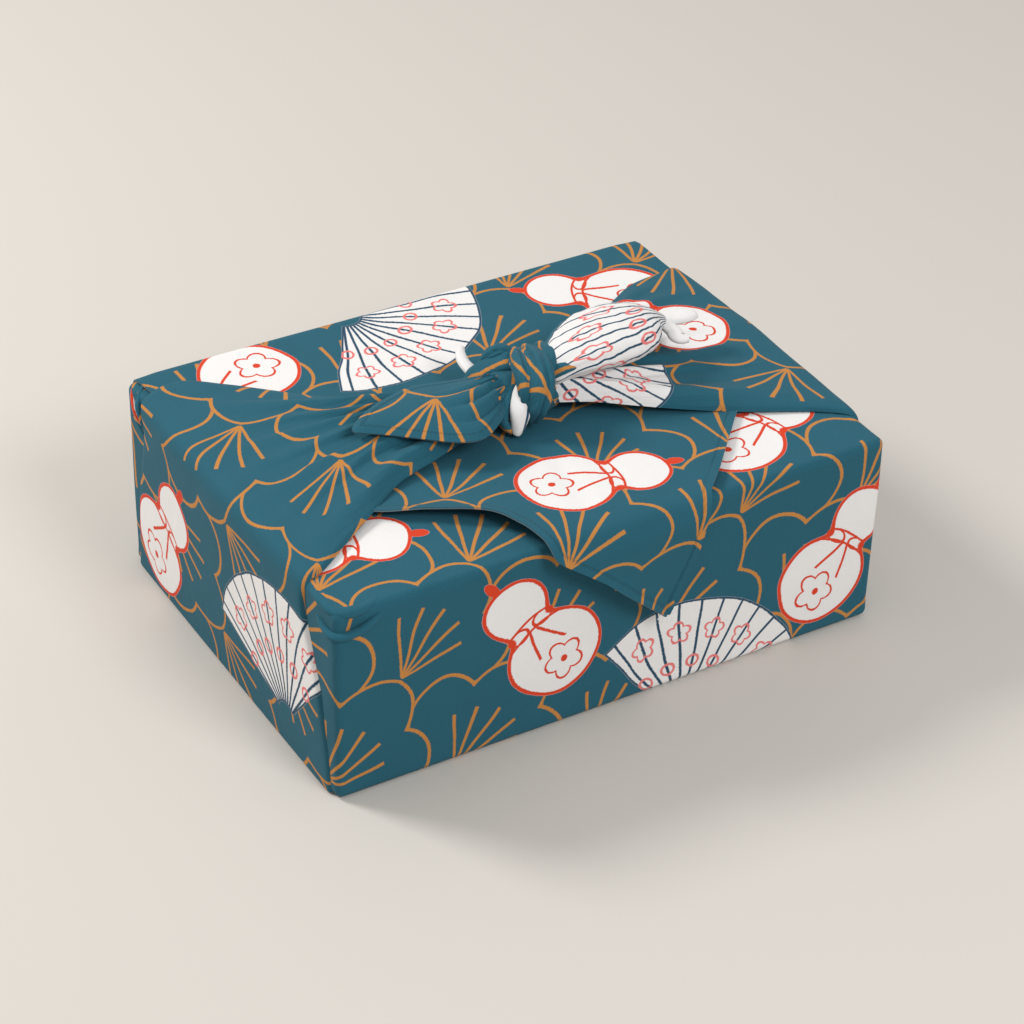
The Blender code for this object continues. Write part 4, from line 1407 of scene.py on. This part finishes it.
def cloth_piece():
    """The whole furoshiki as one piece."""
    side_start = flat_length(WRAP_LENGTH / 2, WRAP_LENGTH / 2, WRAP_RADIUS)
    patches = [
        wrap_patch(),
        flap_patch(),
        ear_patch(LEFT_EAR, LEFT_PLEATS, 5, side_start),
        ear_patch(RIGHT_EAR, RIGHT_PLEATS, 8, side_start),
        *[knot_patch(number) for number in range(len(KNOT_FOLDS) - 1)],
        strand_patch(
            KNOT_LENS, on_motif(TAIL_FAN, -0.0022, 0.0208), 0.0, 30, 32, 0.20, 0.9, gather=0.3,
            seam=math.radians(-82), ridges=3, depth=0.05, seed=7, rough=0.03
        ),
        knot_patch(-1),
        left_tail_patch(),
        strand_patch(
            RIGHT_TAIL, on_motif(TAIL_FAN, 0.0, 0.001), 0.0, 84, 84, 0.63, 1.42, meridian=0.45, gather=0.35,
            seam=math.radians(-141), ridges=9, depth=0.06, twist=0.6, slack=0.8, seed=9, rough=0.03
        ),
    ]
    for tip in WHITE_TIPS:
        place = on_motif(TIP_GOURD, 0.0, tip.up)
        patches.append(strand_patch(
            tip.path, place, tip.turn, tip.steps, 22, tip.share, tip.share, gather=0.2, ridges=3,
            depth=0.10, seed=tip.seed
        ))
    patches += [strand_patch(path, place, TUCK_TURN, 24, 14, gather=0.2) for path, place in TUCKS]
    for path in (POCKET_LIP, POCKET_FOLD):
        patches.append(strand_patch(
            path, on_scallop(POCKET_SCALLOP), PRINT_TILT, 44, 20, 0.35, 0.6, gather=0.1
        ))
    patches += [thread_patch(thread) for thread in THREADS]
    piece = join_patches("furoshiki", patches)
    piece.data.materials.append(printed_cotton())
    return piece


def floor_plane():
    bpy.ops.mesh.primitive_plane_add(size=FLOOR_SIZE, location=(0, 0, -FLOOR_DROP))
    floor = bpy.context.active_object
    floor.name = "floor"
    made, _, shader = new_material("pale_floor")
    shader.inputs["Base Color"].default_value = FLOOR_COLOUR
    shader.inputs["Roughness"].default_value = FLOOR_ROUGHNESS
    floor.data.materials.append(made)


def area_light(row):
    light = bpy.data.lights.new(row.name, "AREA")
    light.shape = "DISK"
    light.size = row.size
    light.energy = row.power
    light.color = row.colour
    obj = bpy.data.objects.new(row.name, light)
    obj.location = row.place
    obj.rotation_mode = "QUATERNION"
    obj.rotation_quaternion = (LIGHT_TARGET - Vector(row.place)).to_track_quat("-Z", "Y")
    bpy.context.scene.collection.objects.link(obj)


def lights():
    for row in LIGHTS:
        area_light(row)
    world = bpy.data.worlds.new("studio")
    world.use_nodes = True
    world.node_tree.nodes["Background"].inputs["Color"].default_value = SKY_COLOUR
    world.node_tree.nodes["Background"].inputs["Strength"].default_value = SKY_STRENGTH
    bpy.context.scene.world = world
    bpy.context.scene.view_settings.view_transform = "Standard"


def camera():
    data = bpy.data.cameras.new("camera")
    data.lens, data.sensor_width = CAMERA_LENS, CAMERA_SENSOR
    cosine, sine = math.cos(CAMERA_ELEVATION), math.sin(CAMERA_ELEVATION)
    back = Vector((math.sin(CAMERA_AZIMUTH) * cosine, -math.cos(CAMERA_AZIMUTH) * cosine, sine))
    right = Vector((math.cos(CAMERA_AZIMUTH), math.sin(CAMERA_AZIMUTH), 0.0))
    up = back.cross(right)
    roll_cos, roll_sin = math.cos(CAMERA_ROLL), math.sin(CAMERA_ROLL)
    right, up = right * roll_cos + up * roll_sin, up * roll_cos - right * roll_sin
    obj = bpy.data.objects.new("camera", data)
    obj.matrix_world = Matrix.Translation(CAMERA_TARGET + back * CAMERA_DISTANCE) @ Matrix((
        (right.x, up.x, back.x, 0), (right.y, up.y, back.y, 0), (right.z, up.z, back.z, 0), (0, 0, 0, 1)
    ))
    bpy.context.scene.collection.objects.link(obj)
    bpy.context.scene.camera = obj


def main():
    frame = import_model()
    cloth = cloth_piece()
    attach(cloth, "root")
    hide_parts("cloth")
    box = frame["nodes"]["gift_box"]
    box.data.materials.clear()
    box.data.materials.append(box_board())
    floor_plane()
    lights()
    camera()


main()
